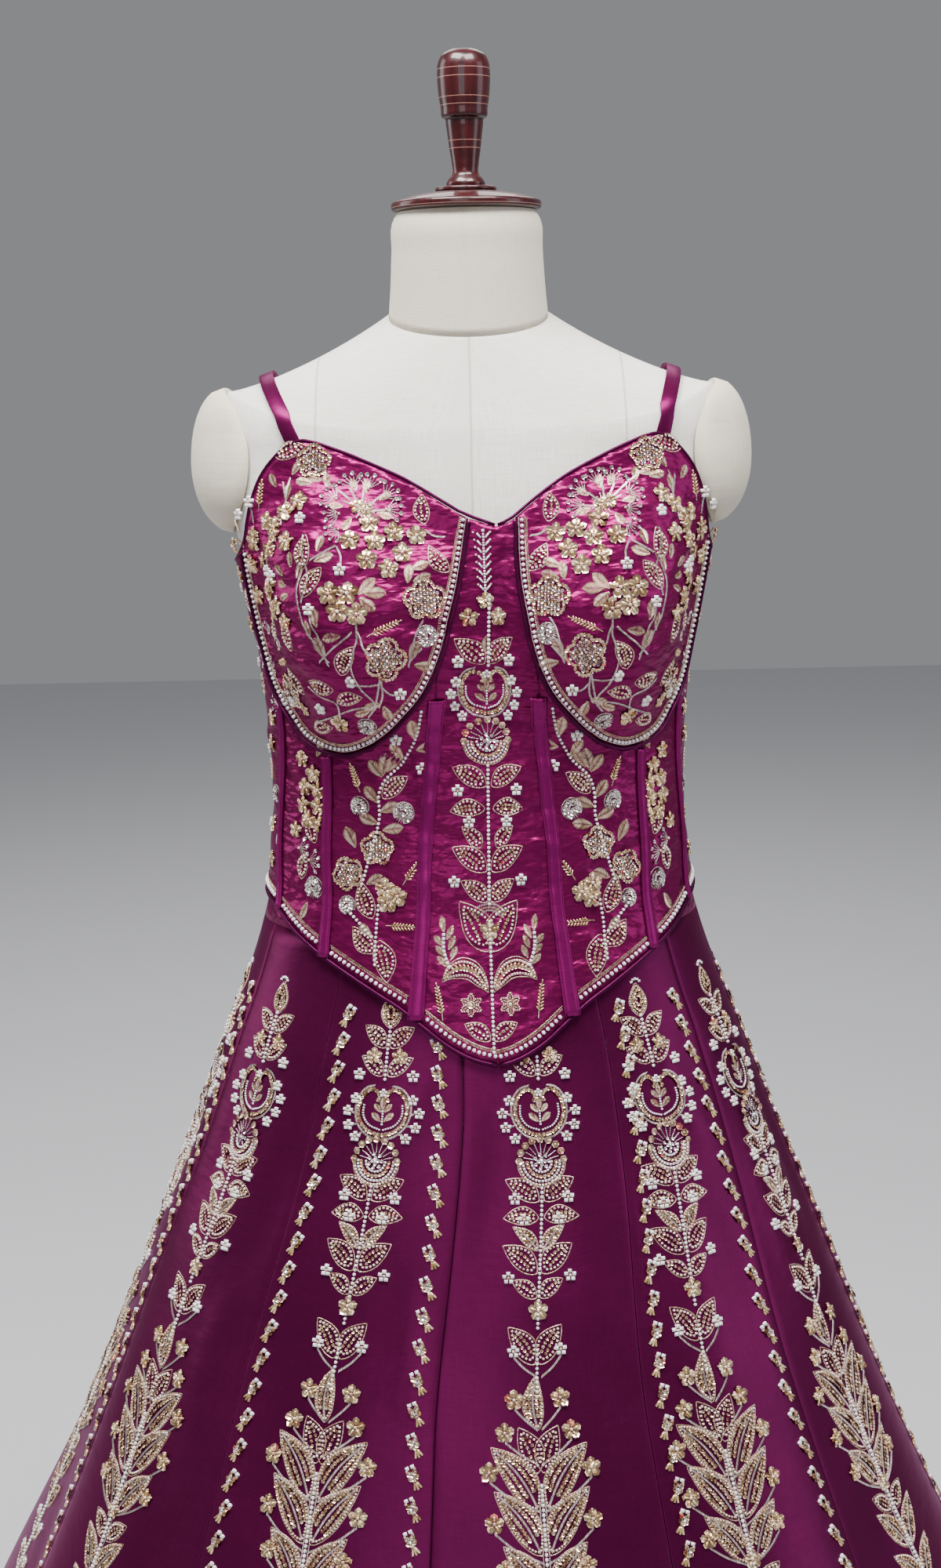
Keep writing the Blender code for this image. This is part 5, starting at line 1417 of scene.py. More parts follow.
# Motifs on the wearer's right half of the choli, copied in mirror on the left half
# Each motif's places: angle, height, size in millimetres, direction in degrees from level
CUP_WORK = {
    "poppy": (
        (-32.8, 1.351, 25.5, 90), (-10.5, 1.25, 31, 90), (-19.8, 1.206, 31.5, 0), (-54.8, 1.177, 29.6, 90),
    ),
    "sequin_leaf": (
        (-44.8, 1.353, 24.2, 20), (-9, 1.303, 23, 92), (-5.8, 1.268, 24.2, 125), (-39, 1.252, 26.6, 55),
        (-32, 1.194, 26.6, 60), (-35, 1.182, 24.2, 165), (-47, 1.176, 24.2, 120), (-34.8, 1.172, 21.8, 15),
        (-47.5, 1.147, 21.8, 10), (-47, 1.21, 24.2, 100), (-38, 1.272, 25.9, 88), (-57.8, 1.216, 17.3, 80),
    ),
    "zari_leaf": (
        (-42, 1.321, 14.4, 85), (-45.2, 1.331, 12, 120), (-39.5, 1.34, 12, 60), (-33.2, 1.334, 14.4, 170),
        (-29, 1.331, 12, 100), (-34, 1.278, 15.6, 20), (-13.2, 1.261, 14.4, 80), (-12.2, 1.262, 14.4, 20),
        (-24, 1.254, 16.8, 45), (-22.8, 1.255, 16.8, 0), (-23.8, 1.252, 15.6, 320), (-35, 1.23, 15.6, 110),
        (-34.5, 1.208, 16.8, 120), (-14.8, 1.205, 15.6, 65), (-14, 1.201, 15.6, 350),
        (-23, 1.172, 14.4, 200), (-22.5, 1.17, 14.4, 290), (-53.2, 1.274, 14.4, 70), (-45, 1.267, 13, 150),
        (-41.8, 1.273, 12, 100), (-45, 1.259, 12, 170), (-44, 1.253, 11, 200), (-40.2, 1.265, 13, 75),
        (-38.5, 1.221, 14, 95), (-29.8, 1.224, 15, 190), (-12.2, 1.271, 14, 20), (-30.5, 1.336, 13, 165),
        (-17.8, 1.312, 12, -20), (-23.2, 1.309, 12, 235), (-24.8, 1.317, 11, 170), (-19.8, 1.326, 12, 95),
        (-17.2, 1.321, 11, 35), (-22.2, 1.328, 11, 115), (-66.8, 1.296, 13, 110), (-66.5, 1.285, 12, 150),
        (-71.8, 1.29, 10, 200), (-32.8, 1.285, 13, 75), (-26.2, 1.166, 13, 200),
    ),
    "silver_flower": (
        (-23.5, 1.336, 15.3, 110), (-19.2, 1.335, 15.3, 80), (-28.2, 1.325, 15.3, 153),
        (-14.8, 1.327, 15.3, 39), (-27.8, 1.311, 14.2, 192), (-14.2, 1.314, 15.3, -3),
        (-28, 1.298, 13.1, 221), (-66.5, 1.192, 14.2, 0), (-69.2, 1.161, 14.2, 180),
        (-63.2, 1.224, 12.3, 90), (-54.8, 1.214, 12.3, 80), (-60.5, 1.17, 12.3, -40),
    ),
    "starburst": (
        (-20.5, 1.315, 19.2, 0),
    ),
    "gold_flower": (
        (-19.5, 1.305, 15.8, 0), (-14.8, 1.298, 15.8, 0), (-10.8, 1.295, 15.8, 0), (-24.2, 1.293, 15.8, 0),
        (-18.8, 1.292, 15.8, 0), (-21, 1.279, 15.8, 0), (-13.8, 1.283, 15.8, 0), (-16.8, 1.272, 15.8, 0),
        (-37, 1.321, 15.8, 0), (-42, 1.313, 15.8, 0), (-46.5, 1.302, 15.8, 0), (-42.2, 1.292, 15.8, 0),
        (-49.5, 1.286, 14.3, 0), (-31, 1.255, 17.2, 0), (-26.5, 1.255, 17.2, 0), (-29.2, 1.242, 17.2, 0),
        (-24.8, 1.24, 17.2, 0), (-36, 1.155, 15.8, 0), (-65, 1.248, 15.8, 0), (-52.5, 1.259, 15.8, 0),
        (-52.8, 1.239, 15.8, 0), (-59, 1.29, 15.8, 0), (-64.2, 1.272, 15.8, 0), (-54.5, 1.253, 14.6, 0),
        (-50.2, 1.244, 14.6, 0), (-47.8, 1.232, 13.4, 0), (-47, 1.297, 13.4, 0), (-57.8, 1.295, 13.4, 0),
        (-55.5, 1.276, 13.4, 0), (-49.8, 1.306, 14.6, 0), (-49.5, 1.163, 11.2, 0), (-21.8, 1.317, 12.3, 0),
        (-20, 1.314, 11.2, 0),
    ),
    "mini_flower": (
        (-27.5, 1.272, 9.4, 0), (-37.2, 1.243, 9.4, 0), (-29.5, 1.189, 9.4, 0), (-18, 1.179, 9.4, 0),
        (-41.5, 1.166, 9.4, 0), (-57.2, 1.32, 9.4, 0), (-51.8, 1.265, 9.4, 0), (-36.5, 1.309, 9, 0),
        (-64.5, 1.31, 9, 0), (-53.5, 1.269, 9, 0), (-56.5, 1.167, 9, 0),
    ),
    "bugle_sprig": (
        (-23.5, 1.223, 27.6, 25), (-51.5, 1.201, 25.3, 190), (-53.2, 1.314, 23, 85),
    ),
    "silver_rose": (
        (-10.8, 1.222, 15.1, 0), (-28.2, 1.153, 14, 0),
    ),
}
CUP_STEMS = (
    ((-37.5, 1.243), (-36.5, 1.23), (-35, 1.213), (-34.2, 1.201)),
    ((-25, 1.236), (-26.2, 1.219), (-28.2, 1.201), (-26.8, 1.183), (-24.5, 1.17), (-27, 1.161)),
    ((-11, 1.234), (-12, 1.229), (-14, 1.212), (-15.2, 1.2)),
    ((-24.5, 1.17), (-30.8, 1.167), (-37.8, 1.16), (-45, 1.154)),
    ((-22, 1.191), (-23.2, 1.18), (-24.5, 1.17)), ((-40, 1.338), (-42, 1.321), (-43.5, 1.303)),
    ((-31, 1.338), (-26.5, 1.329), (-20.5, 1.315)), ((-37, 1.287), (-37, 1.264), (-39.5, 1.247)),
    ((-38.2, 1.272), (-40.5, 1.255), (-40.2, 1.238), (-37.8, 1.221), (-34, 1.204)),
    ((-36.5, 1.204), (-31.2, 1.217), (-26.5, 1.227)), ((-25.5, 1.227), (-24.5, 1.215), (-23, 1.206)),
    ((-21.8, 1.19), (-22.2, 1.178), (-23.8, 1.168)), ((-22.5, 1.187), (-25.2, 1.186), (-28, 1.187)),
    ((-22, 1.185), (-20.2, 1.179), (-18.8, 1.178)),
    ((-44.2, 1.183), (-39.8, 1.176), (-35.2, 1.171), (-35.5, 1.158)),
    ((-15, 1.203), (-13.2, 1.209), (-12, 1.213)), ((-27.5, 1.289), (-26.8, 1.282), (-27.2, 1.274)),
    ((-35, 1.279), (-31.5, 1.284), (-27.8, 1.289)), ((-9.2, 1.299), (-7.5, 1.294), (-5.8, 1.293)),
    ((-20.8, 1.315), (-20.5, 1.328)), ((-20.5, 1.315), (-23.8, 1.33)), ((-20.2, 1.315), (-16.8, 1.324)),
    ((-20.8, 1.315), (-24.8, 1.321)), ((-20.5, 1.313), (-15, 1.314)), ((-42, 1.323), (-42.5, 1.335)),
    ((-37.8, 1.282), (-36, 1.297)), ((-56.8, 1.304), (-57, 1.316), (-58.5, 1.321)),
)
FRONT_SIDE_WORK = {
    "mini_flower": (
        (-21.2, 1.142, 9.4, 0), (-15.2, 1.119, 9.4, 0),
    ),
    "zari_leaf": (
        (-16.2, 1.141, 18.1, 100), (-16.5, 1.133, 18.1, 15), (-20.2, 1.124, 16.8, 120),
        (-26.2, 1.113, 18.1, 80), (-26.2, 1.112, 16.8, 130), (-24.8, 1.116, 16.8, 60),
        (-27.5, 1.092, 16.8, 130), (-27.5, 1.085, 16.8, 25), (-28.2, 1.076, 16.8, 160),
        (-27, 1.071, 16.8, 10), (-35.8, 1.056, 18.1, 115), (-32.2, 1.029, 15.3, 30), (-29.8, 0.99, 14, 140),
    ),
    "sequin_leaf": (
        (-26.2, 1.096, 25.1, 42), (-30.2, 1.003, 30.1, 108), (-28.2, 0.978, 27.6, 138),
        (-27.8, 0.987, 32.6, 285),
    ),
    "silver_rose": (
        (-33.8, 1.089, 14.5, 90), (-20.8, 1.085, 15.6, 60), (-38.2, 1.012, 13.5, 120),
    ),
    "poppy": (
        (-28.5, 1.058, 26.1, 90), (-38, 1.037, 26.1, 120),
    ),
    "gold_flower": (
        (-26.5, 1.027, 16.7, 0), (-23.2, 1.021, 16.7, 0), (-26, 1.016, 16.7, 0),
    ),
    "bugle_sprig": (
        (-21.5, 1.03, 26.4, 55), (-26.5, 0.998, 29.1, 0), (-33, 1.1, 23.8, 112),
    ),
}
FRONT_SIDE_STEMS = (
    ((-13.8, 1.166), (-16, 1.144), (-20.5, 1.123), (-26.2, 1.107), (-28, 1.076), (-31.2, 1.047), (-33.8, 1.026)),
    ((-28.5, 1.015), (-28.8, 0.993), (-27.8, 0.968)), ((-38.2, 1.009), (-33.2, 0.998), (-29, 0.987)),
)
SIDE_FRONT_WORK = {
    "gold_flower": (
        (-50.8, 1.111, 14.6, 0), (-49, 1.099, 14.6, 0), (-55, 1.1, 14.6, 0), (-56, 1.086, 14.6, 0),
        (-49.2, 1.086, 14.6, 0), (-53.5, 1.075, 14.6, 0), (-48.5, 1.072, 14.6, 0), (-55.5, 1.122, 13.4, 0),
        (-60, 1.065, 13.4, 0),
    ),
    "sequin_leaf": (
        (-50.5, 1.057, 22.4, 110), (-57, 1.027, 22.4, 75),
    ),
    "silver_flower": (
        (-55.5, 1.051, 14.9, 0), (-50.5, 1.043, 14.9, 0),
    ),
    "silver_rose": (
        (-51, 1.022, 16.8, 90),
    ),
    "zari_leaf": (
        (-48.8, 1.125, 14.4, 60), (-53.2, 1.01, 14.4, 250),
    ),
}
# The plainer side panel behind it, and the back
SIDE_WORK = {
    "gold_flower": (
        (-76, 1.285, 13.8, 0), (-80, 1.262, 13.8, 0), (-82, 1.222, 13.8, 0), (-75, 1.15, 13.8, 0),
        (-79, 1.128, 15, 0), (-82, 1.062, 13.8, 0), (-80, 1.034, 13.8, 0),
    ),
    "sequin_leaf": (
        (-76, 1.232, 20, 100), (-83, 1.165, 20, 80), (-84, 1.096, 20, 105),
    ),
    "silver_flower": (
        (-77, 1.198, 14.3, 0),
    ),
    "silver_rose": (
        (-77, 1.088, 14, 90),
    ),
    "zari_leaf": (
        (-75, 1.048, 12, 60),
    ),
    "mini_flower": (
        (-88, 1.25, 7.8, 0), (-90, 1.19, 7.8, 0), (-90, 1.12, 7.8, 0), (-90, 1.06, 7.8, 0),
    ),
}
BACK_WORK = {
    "gold_flower": (
        (-112, 1.232, 14.1, 0), (-134, 1.214, 14.1, 0), (-156, 1.196, 14.1, 0), (-122, 1.172, 14.1, 0),
        (-145, 1.156, 14.1, 0), (-167, 1.14, 14.1, 0), (-112, 1.12, 14.1, 0), (-134, 1.104, 14.1, 0),
        (-156, 1.09, 14.1, 0), (-122, 1.064, 14.1, 0), (-145, 1.048, 14.1, 0), (-167, 1.04, 14.1, 0),
    ),
}
# The centre front, on its own axis.
# Columns: motif, millimetres aside, height, size, direction, whether in a pair
CENTRE_WORK = (
    ("pearl_sprig", 0, 1.252, 44, 90, False), ("gold_flower", 0, 1.246, 13, 0, False),
    ("gold_flower", 11, 1.234, 14, 0, True), ("sequin_leaf", 1.5, 1.199, 28, 44, True),
    ("zari_leaf", 0, 1.206, 14, 90, False), ("mini_flower", 20, 1.2015, 9.4, 0, True),
    ("ring_volute", 0, 1.179, 17.7, 0, False), ("rosette", 0, 1.14, 37, 0, False),
    ("sequin_leaf", 2, 1.105, 28, 31, True), ("mini_flower", 22.5, 1.102, 9.6, 0, True),
    ("sequin_leaf", 3, 1.088, 26, -4, True), ("mini_flower", 14, 1.078, 9.4, 0, True),
    ("sequin_leaf", 6, 1.058, 21, 52, True), ("sequin_leaf", 2, 1.04, 31, 37, True),
    ("mini_flower", 26, 1.033, 9.4, 0, True), ("sequin_leaf", 1.5, 1.017, 25, 42, True),
    ("crescent", 0, 1.008, 26, 0, False), ("gold_flower", 0, 0.996, 15, 0, False),
    ("sequin_leaf", 2, 0.98, 44, 61, True), ("tulip_spray", 31, 0.968, 40, 77, True),
    ("paisley", 2, 0.95, 38, 27, True), ("bugle_sprig", 38, 0.93, 30, 76, True),
    ("six_petal", 15, 0.941, 18, 0, True), ("sequin_leaf", 1.5, 0.915, 23, 34, True),
)
# Where the skirt's columns hang, panel by panel, and the motifs on each one's axis, from the waist down
COLUMN_ANGLES = (6.3, 33.0, 62.0, 93.3, 123.1, 152.9, 182.7, 212.5, 242.3, 272.2, 302.0, 336.0)
COLUMN_WORK = (
    ("pod", 0, 0.922, 26, 90, False), ("sequin_leaf", 2, 0.908, 24, 42, True),
    ("gold_flower", 10, 0.902, 12.5, 0, True), ("sequin_leaf", 2, 0.888, 23, 37, True),
    ("mini_flower", 21, 0.888, 9.2, 0, True), ("ring_volute", 0, 0.864, 18.8, 0, False),
    ("rosette", 0, 0.828, 38, 0, False), ("sequin_leaf", 2, 0.801, 29, 34, True),
    ("mini_flower", 20, 0.803, 9.2, 0, True), ("sequin_leaf", 2, 0.79, 26, 0, True),
    ("mini_flower", 13, 0.789, 9.2, 0, True), ("chip_leaf", 2, 0.768, 25, 46, True),
    ("sequin_leaf", 2, 0.753, 32, 41, True), ("mini_flower", 23, 0.751, 9.2, 0, True),
    ("sequin_leaf", 1.5, 0.737, 22, 37, True), ("gold_flower", 0, 0.729, 15, 0, False),
    ("sequin_leaf", 2, 0.694, 33, 56, True), ("chip_leaf", 0, 0.652, 39, 90, False),
    ("sequin_leaf", 2, 0.625, 35, 68, True), ("chip_leaf", 3, 0.601, 57, 53, True),
    ("chip_leaf", 3, 0.574, 56, 53, True), ("chip_leaf", 3, 0.546, 48, 53, True),
    ("sequin_leaf", 2, 0.527, 26, 40, True), ("gold_flower", 0, 0.548, 14.4, 0, False),
    ("chip_leaf", 2, 0.5, 42, 54, True), ("chip_leaf", 2, 0.474, 38, 50, True),
)
# Flowers on stalks.
# Columns: motif, millimetres aside, height, size, and the height where the stalk leaves the axis
COLUMN_STALKS = (
    ("mini_flower", 17.6, 0.703, 9.2, 0.684), ("gold_flower", 17, 0.672, 14.6, 0.65),
    ("gold_flower", 24.5, 0.651, 14.6, 0.628), ("gold_flower", 37.6, 0.626, 14.6, 0.598),
    ("gold_flower", 36, 0.594, 14.6, 0.566), ("gold_flower", 30, 0.566, 13.6, 0.542),
)
COLUMN_STEM_TOP, COLUMN_STEM_FOOT = 0.620, 0.075
REPEAT_TOP, REPEAT_PITCH = 0.446, 0.031


def sewn(work, table, side):
    """Draws a table of motifs, as it stands on the -X side and mirrored on the +X side."""
    for motif, places in table.items():
        for angle, height, size, direction in places:
            work.at(angle * -side, height, -side)
            work.draw(motif, size, turn=direction)


def sewn_on_axis(work, table, angle_at):
    """Draws a table of motifs on an upright axis, those in pairs on both of its sides."""
    for motif, aside, height, size, direction, paired in table:
        for flip in (1, -1) if paired else (1,):
            work.at(angle_at(height), height, flip)
            work.draw(motif, size, x=aside, turn=direction)


def outside_channels(angle, height):
    """Whether places are clear of the bone channels."""
    clear = np.ones(len(angle), bool)
    for seam in (CENTRE_SEAM, MIDDLE_SEAM, SIDE_SEAM):
        line = np.asarray(seam)
        at = np.interp(height, line[:, 1], line[:, 0])
        near = np.radians(np.abs(np.abs(angle) - at)) * FIT_RADIUS < CHANNEL_WIDTH / 2 + 0.0008
        clear &= ~(near & (height < line[-1, 1] - 0.002))
    return clear


def below_hem(angle, height):
    """Whether places on the skirt show below the choli's hem."""
    return height < height_on(HEM, angle) - 0.0035


def sew_cup(suffix, side):
    work = Needlework(choli_cloth, choli_form, seed=11 + side)
    for stem in CUP_STEMS:
        line = np.asarray(stem) * (-side, 1)
        work.sew(line, 1.2, "pale", (2.9, 1.0, 1.1), slant=40)
    sewn(work, CUP_WORK, side)
    seam = np.asarray(CUP_SEAM) * (side, 1)
    work.sew(seam, 1.6, "pale", (2.2, 0.9, 0.8), aside=2.8 * side)
    work.sew(seam, 4.2, "pearl", (2.9, 3.3, 2.3), aside=5.2 * side)
    work.braid(seam, 8.4, 2.6, "thread", side)
    return work.build("cup_needlework" + suffix)


def sew_corset():
    work = Needlework(choli_cloth, choli_form, keep=outside_channels, seed=21)
    for side in (-1, 1):
        for table in (FRONT_SIDE_WORK, SIDE_FRONT_WORK, SIDE_WORK, BACK_WORK):
            sewn(work, table, side)
        for stem in FRONT_SIDE_STEMS:
            work.sew(np.asarray(stem) * (-side, 1), 3.5, "pearl", (2.6, 2.6, 1.9))
        hem = edge_points(HEM, between(0.3, 179.6, 160)) * (side, 1)
        work.sew(hem, 4.4, "pearl", (3.1, 3.6, 2.4), aside=5.2 * side)
        work.braid(hem, 9.2, 2.8, "thread", side)
    axis = (0.90, 1.10, 1.30), (-1.0, -0.5, -1.5)
    sewn_on_axis(work, CENTRE_WORK, lambda height: float(np.interp(height, *axis)))
    for low, high in ((0.905, 1.004), (1.014, 1.122), (1.196, 1.250)):
        work.sew([(-0.7, h) for h in between(low, high, 6)], 3.3, "pearl", (2.8, 2.8, 2.0))
    return work.build("corset_needlework")


def sew_column(number):
    """The upright band of embroidery on one skirt panel, with its border at the hem."""
    middle = float(wrap(COLUMN_ANGLES[number - 1]))
    work = Needlework(skirt_cloth, skirt_form, keep=below_hem, seed=100 + number)
    axis = [(middle, h) for h in between(COLUMN_STEM_FOOT, COLUMN_STEM_TOP, 8)]
    work.sew(axis, 3.4, "pearl", (3.2, 2.8, 2.0))
    for aside in (-2.3, 2.3):
        work.sew(axis, 1.4, "pale", (2.2, 1.0, 0.8), aside=aside)
    for low, high in ((0.672, 0.704), (0.716, 0.812), (0.884, 0.925)):
        work.sew([(middle, h) for h in between(low, high, 6)], 3.3, "pearl", (2.7, 2.7, 1.9))
    sewn_on_axis(work, COLUMN_WORK, lambda height: middle)
    for motif, aside, height, size, root in COLUMN_STALKS:
        drop = (height - root) * 1000
        for flip in (1, -1):
            work.at(middle, height, flip)
            work.rope(curve([(1.5, -drop), (aside * 0.62, -drop * 0.62), (aside, -size * 0.45)], 16))
            work.draw(motif, size, x=aside)
    height = REPEAT_TOP
    k = 0
    while height > 0.10:
        size = 26 + 5 * math.sin(k * 1.9)
        for flip in (1, -1):
            work.at(middle, height, flip)
            work.draw("sequin_leaf", size, x=2, turn=44)
            work.rope(curve([(1.5, 3), (9, 11), (16.5, 15)], 14))
            work.draw("mini_flower", 8.2, x=17.5, y=17)
        height -= REPEAT_PITCH
        k += 1
    before, after = PANEL_SEAMS[number - 1], PANEL_SEAMS[number]
    border = np.stack([between(before + 0.1, after - 0.1, 40), np.full(41, HEM_HEIGHT)], -1)
    work.sew(border, 3.2, "pearl", (3.0, 3.0, 2.2), aside=14.0)
    work.braid(border, 19.0, 3.0)
    work.braid(border, 9.0, 3.0)
    if number % 2 == 0:
        for seam, flip in ((before, -1), (after, 1)):
            for height in np.arange(0.93, 0.06, -0.0205):
                radius = float(np.linalg.norm(skirt_form(np.array([seam]), np.array([height]))[0, :2]))
                angle = seam - flip * math.degrees(0.0135 / radius)
                work.at(float(wrap(angle)), height, flip)
                work.draw("bead_drop", 19.5, x=5, y=-9, turn=116)
    return work.build(f"kali_{number:02d}_needlework")


def neck_edge(angle):
    """The flat, tilted seam where the neck block meets the shoulders."""
    _, half, front, back = NECK_PROFILE[0]
    turn = np.radians(angle)
    y = -np.where(np.cos(turn) > 0, front, back) * np.cos(turn)
    return np.stack([half * np.sin(turn), y, NECK_SIDE + NECK_TILT * y], -1)


def lofted(name, rings, finish, node):
    """A closed skin over level rings, capped at both ends, with its cloth laid round and up it."""
    points = np.asarray(rings)
    rows, around = points.shape[:2]
    faces = grid_faces(rows, around, ring=True)
    faces.append(tuple(range(around))[::-1])
    faces.append(tuple((rows - 1) * around + j for j in range(around)))
    turn = np.radians(np.arange(around) * 360 / around)
    uv = np.stack(np.broadcast_arrays(turn[None] * 0.16, points[..., 2]), -1)
    piece = new_object(name, points.reshape(-1, 3), faces, material(finish), uv.reshape(-1, 2))
    finish_piece(piece, [node])
    return piece


def make_torso(around=128):
    """The padded torso: level rings up to the chest, then rings that close in over the shoulders."""
    angles = np.arange(around) * 360 / around
    lowest = FORM_SECTIONS[0][0]
    heights = np.concatenate([between(lowest, 0.83, 10)[:-1], between(0.83, CHEST_HEIGHT, 60)[:-1]])
    rings = [torso_form(angles, np.full(around, h)) for h in heights]
    side = np.abs(np.sin(np.radians(angles))) ** 3
    chest = section(FORM_SECTIONS, angles, np.full(around, CHEST_HEIGHT))
    chest[:, 2] += SHOULDER_LIFT * side
    neck = neck_edge(angles)
    rings.append(chest)
    for share in between(0, 1, 26)[1:]:
        rise = share ** (1 + 0.35 * side)
        ring = chest + (neck - chest) * share
        ring[:, 2] = chest[:, 2] + (neck[:, 2] - chest[:, 2]) * rise
        rings.append(ring)
    lofted("form_torso_canvas", rings, "canvas", "form_torso")


def make_neck(around=96):
    angles = np.arange(around) * 360 / around
    turn = np.radians(angles)
    rings = []
    for share in np.concatenate([between(0, 0.9, 14), (0.94, 0.97, 0.99, 1.0)]):
        half, front, back = (float(smooth(NECK_PROFILE, share, k)) for k in (1, 2, 3))
        ring = neck_edge(angles)
        ring[:, 0] = half * np.sin(turn)
        ring[:, 1] = -np.where(np.cos(turn) > 0, front, back) * np.cos(turn)
        ring[:, 2] = (ring[:, 2] + SEAM_GAP) * (1 - share) + NECK_TOP * share
        rings.append(ring)
    lofted("form_neck_canvas", rings, "neck_canvas", "form_neck")


def make_shoulder_cap(suffix, side):
    """A stuffed cap sewn over the armhole plate, drawn in at its edge, with slack puckers beside the seam."""
    across = between(-1, 1, 36)[None]
    along = between(-1, 1, 36)[:, None]
    round_across = across * np.sqrt(1 - along**2 / 2)
    round_along = along * np.sqrt(1 - across**2 / 2)
    angles = side * 90 + CAP_SPREAD * round_across
    heights = CAP_CENTRE + CAP_HALF_HEIGHT * round_along
    reach = round_across**2 + round_along**2
    dome = np.sqrt(np.clip(1 - reach, 0, 1))
    bearing = np.degrees(np.arctan2(round_along, round_across))
    ripple = np.sin(np.radians(bearing * 17 + 40 * np.sin(bearing)))
    pucker = 0.0006 * np.exp(-(((reach - 0.82) / 0.14) ** 2)) * ripple

    def plate(angle, height):
        return section(FORM_SECTIONS, angle, height)

    low = moved_out(plate, angles, heights, CAP_LIFT)
    high = moved_out(plate, angles, heights, CAP_LIFT + CAP_EDGE)
    high[..., 0] += side * (CAP_DEPTH * dome - np.abs(pucker))
    rows, columns = high.shape[:2]
    total = rows * columns
    faces = grid_faces(rows, columns)
    faces += [tuple(total + p for p in face[::-1]) for face in faces]
    rim = [j for j in range(columns)] + [i * columns + columns - 1 for i in range(1, rows)]
    rim += [(rows - 1) * columns + j for j in range(columns - 2, -1, -1)]
    rim += [i * columns for i in range(rows - 2, 0, -1)]
    faces += [(a, total + a, total + b, b) for a, b in zip(rim, rim[1:] + rim[:1])]
    points = np.concatenate([high.reshape(-1, 3), low.reshape(-1, 3)])
    uv = np.concatenate([np.stack([high[..., 1], high[..., 2]], -1).reshape(-1, 2)] * 2)
    piece = new_object(f"shoulder_cap{suffix}_canvas", points, faces, material("neck_canvas"), uv)
    bpy.context.view_layer.objects.active = piece
    piece.select_set(True)
    bpy.ops.object.mode_set(mode="EDIT")
    bpy.ops.mesh.select_all(action="SELECT")
    bpy.ops.mesh.normals_make_consistent(inside=False)
    bpy.ops.object.mode_set(mode="OBJECT")
    piece.select_set(False)
    finish_piece(piece, ["shoulder_cap" + suffix])


def finer_profile(profile, step):
    """A turner's profile with more places on a smooth curve through its own, which all stay."""
    line = np.asarray(profile, float)
    along = run_along(line)
    table = np.column_stack([along, line])
    at = [np.linspace(a, b, max(2, math.ceil((b - a) / step) + 1))[:-1] for a, b in zip(along[:-1], along[1:])]
    at = np.concatenate(at + [along[-1:]])
    return np.stack([smooth(table, at, 1), smooth(table, at, 2)], -1)


def turned(name, profile, bottom, node, finish="mahogany", around=72, step=0.0016):
    """A lathe-turned piece: a circle drawn up its profile ring by ring, and closed at both ends."""
    profile = finer_profile(profile, step)
    bpy.ops.object.select_all(action="DESELECT")
    bpy.ops.mesh.primitive_circle_add(
        vertices=around, radius=profile[0][0], fill_type="NGON", location=(0, 0, bottom + profile[0][1])
    )
    piece = bpy.context.object
    piece.name = name
    piece.data.name = name
    bpy.ops.object.transform_apply(location=True)
    bpy.ops.object.mode_set(mode="EDIT")
    bpy.ops.mesh.select_all(action="SELECT")
    for (radius, height), (wider, higher) in zip(profile[:-1], profile[1:]):
        bpy.ops.mesh.extrude_region_move(TRANSFORM_OT_translate={"value": (0, 0, higher - height)})
        share = wider / radius
        centre = (0, 0, bottom + higher)
        bpy.ops.transform.resize(value=(share, share, 1), center_override=centre)
    bpy.ops.mesh.select_all(action="SELECT")
    bpy.ops.mesh.normals_make_consistent(inside=False)
    bpy.ops.object.mode_set(mode="OBJECT")
    piece.data.shade_smooth()
    piece.data.materials.append(material(finish))
    finish_piece(piece, [node])
    piece.select_set(False)
    return piece


def make_wood():
    disc_height = DISC_PROFILE[-1][1]
    turned("neck_cap_wood", DISC_PROFILE, NECK_TOP + SEAM_GAP, "neck_cap")
    turned("finial_wood", FINIAL_PROFILE, NECK_TOP + 2 * SEAM_GAP + disc_height, "finial", step=0.0014)
    foot = (
        (BASE_RADIUS, 0.0),
        (BASE_RADIUS, BASE_HEIGHT * 0.45),
        (BASE_RADIUS * 0.96, BASE_HEIGHT * 0.75),
        (BASE_RADIUS * 0.80, BASE_HEIGHT * 0.92),
        (POLE_RADIUS * 2.2, BASE_HEIGHT),
    )
    turned("base_wood", foot, 0.0, "base", around=96, step=0.008)
    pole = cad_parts["pole"]
    pole.data.materials.clear()
    pole.data.materials.append(material("pole_steel"))


def area_light(name, place, aim, width, length, power, colour):
    """One soft panel of light, turned to face a place."""
    data = bpy.data.lights.new(name, "AREA")
    data.shape = "RECTANGLE"
    data.size, data.size_y = width, length
    data.energy = power
    data.color = linear(colour)[:3]
    lamp = in_scene(name, data)
    lamp.location = place
    way = Vector(aim) - Vector(place)
    lamp.rotation_euler = way.to_track_quat("-Z", "Y").to_euler()


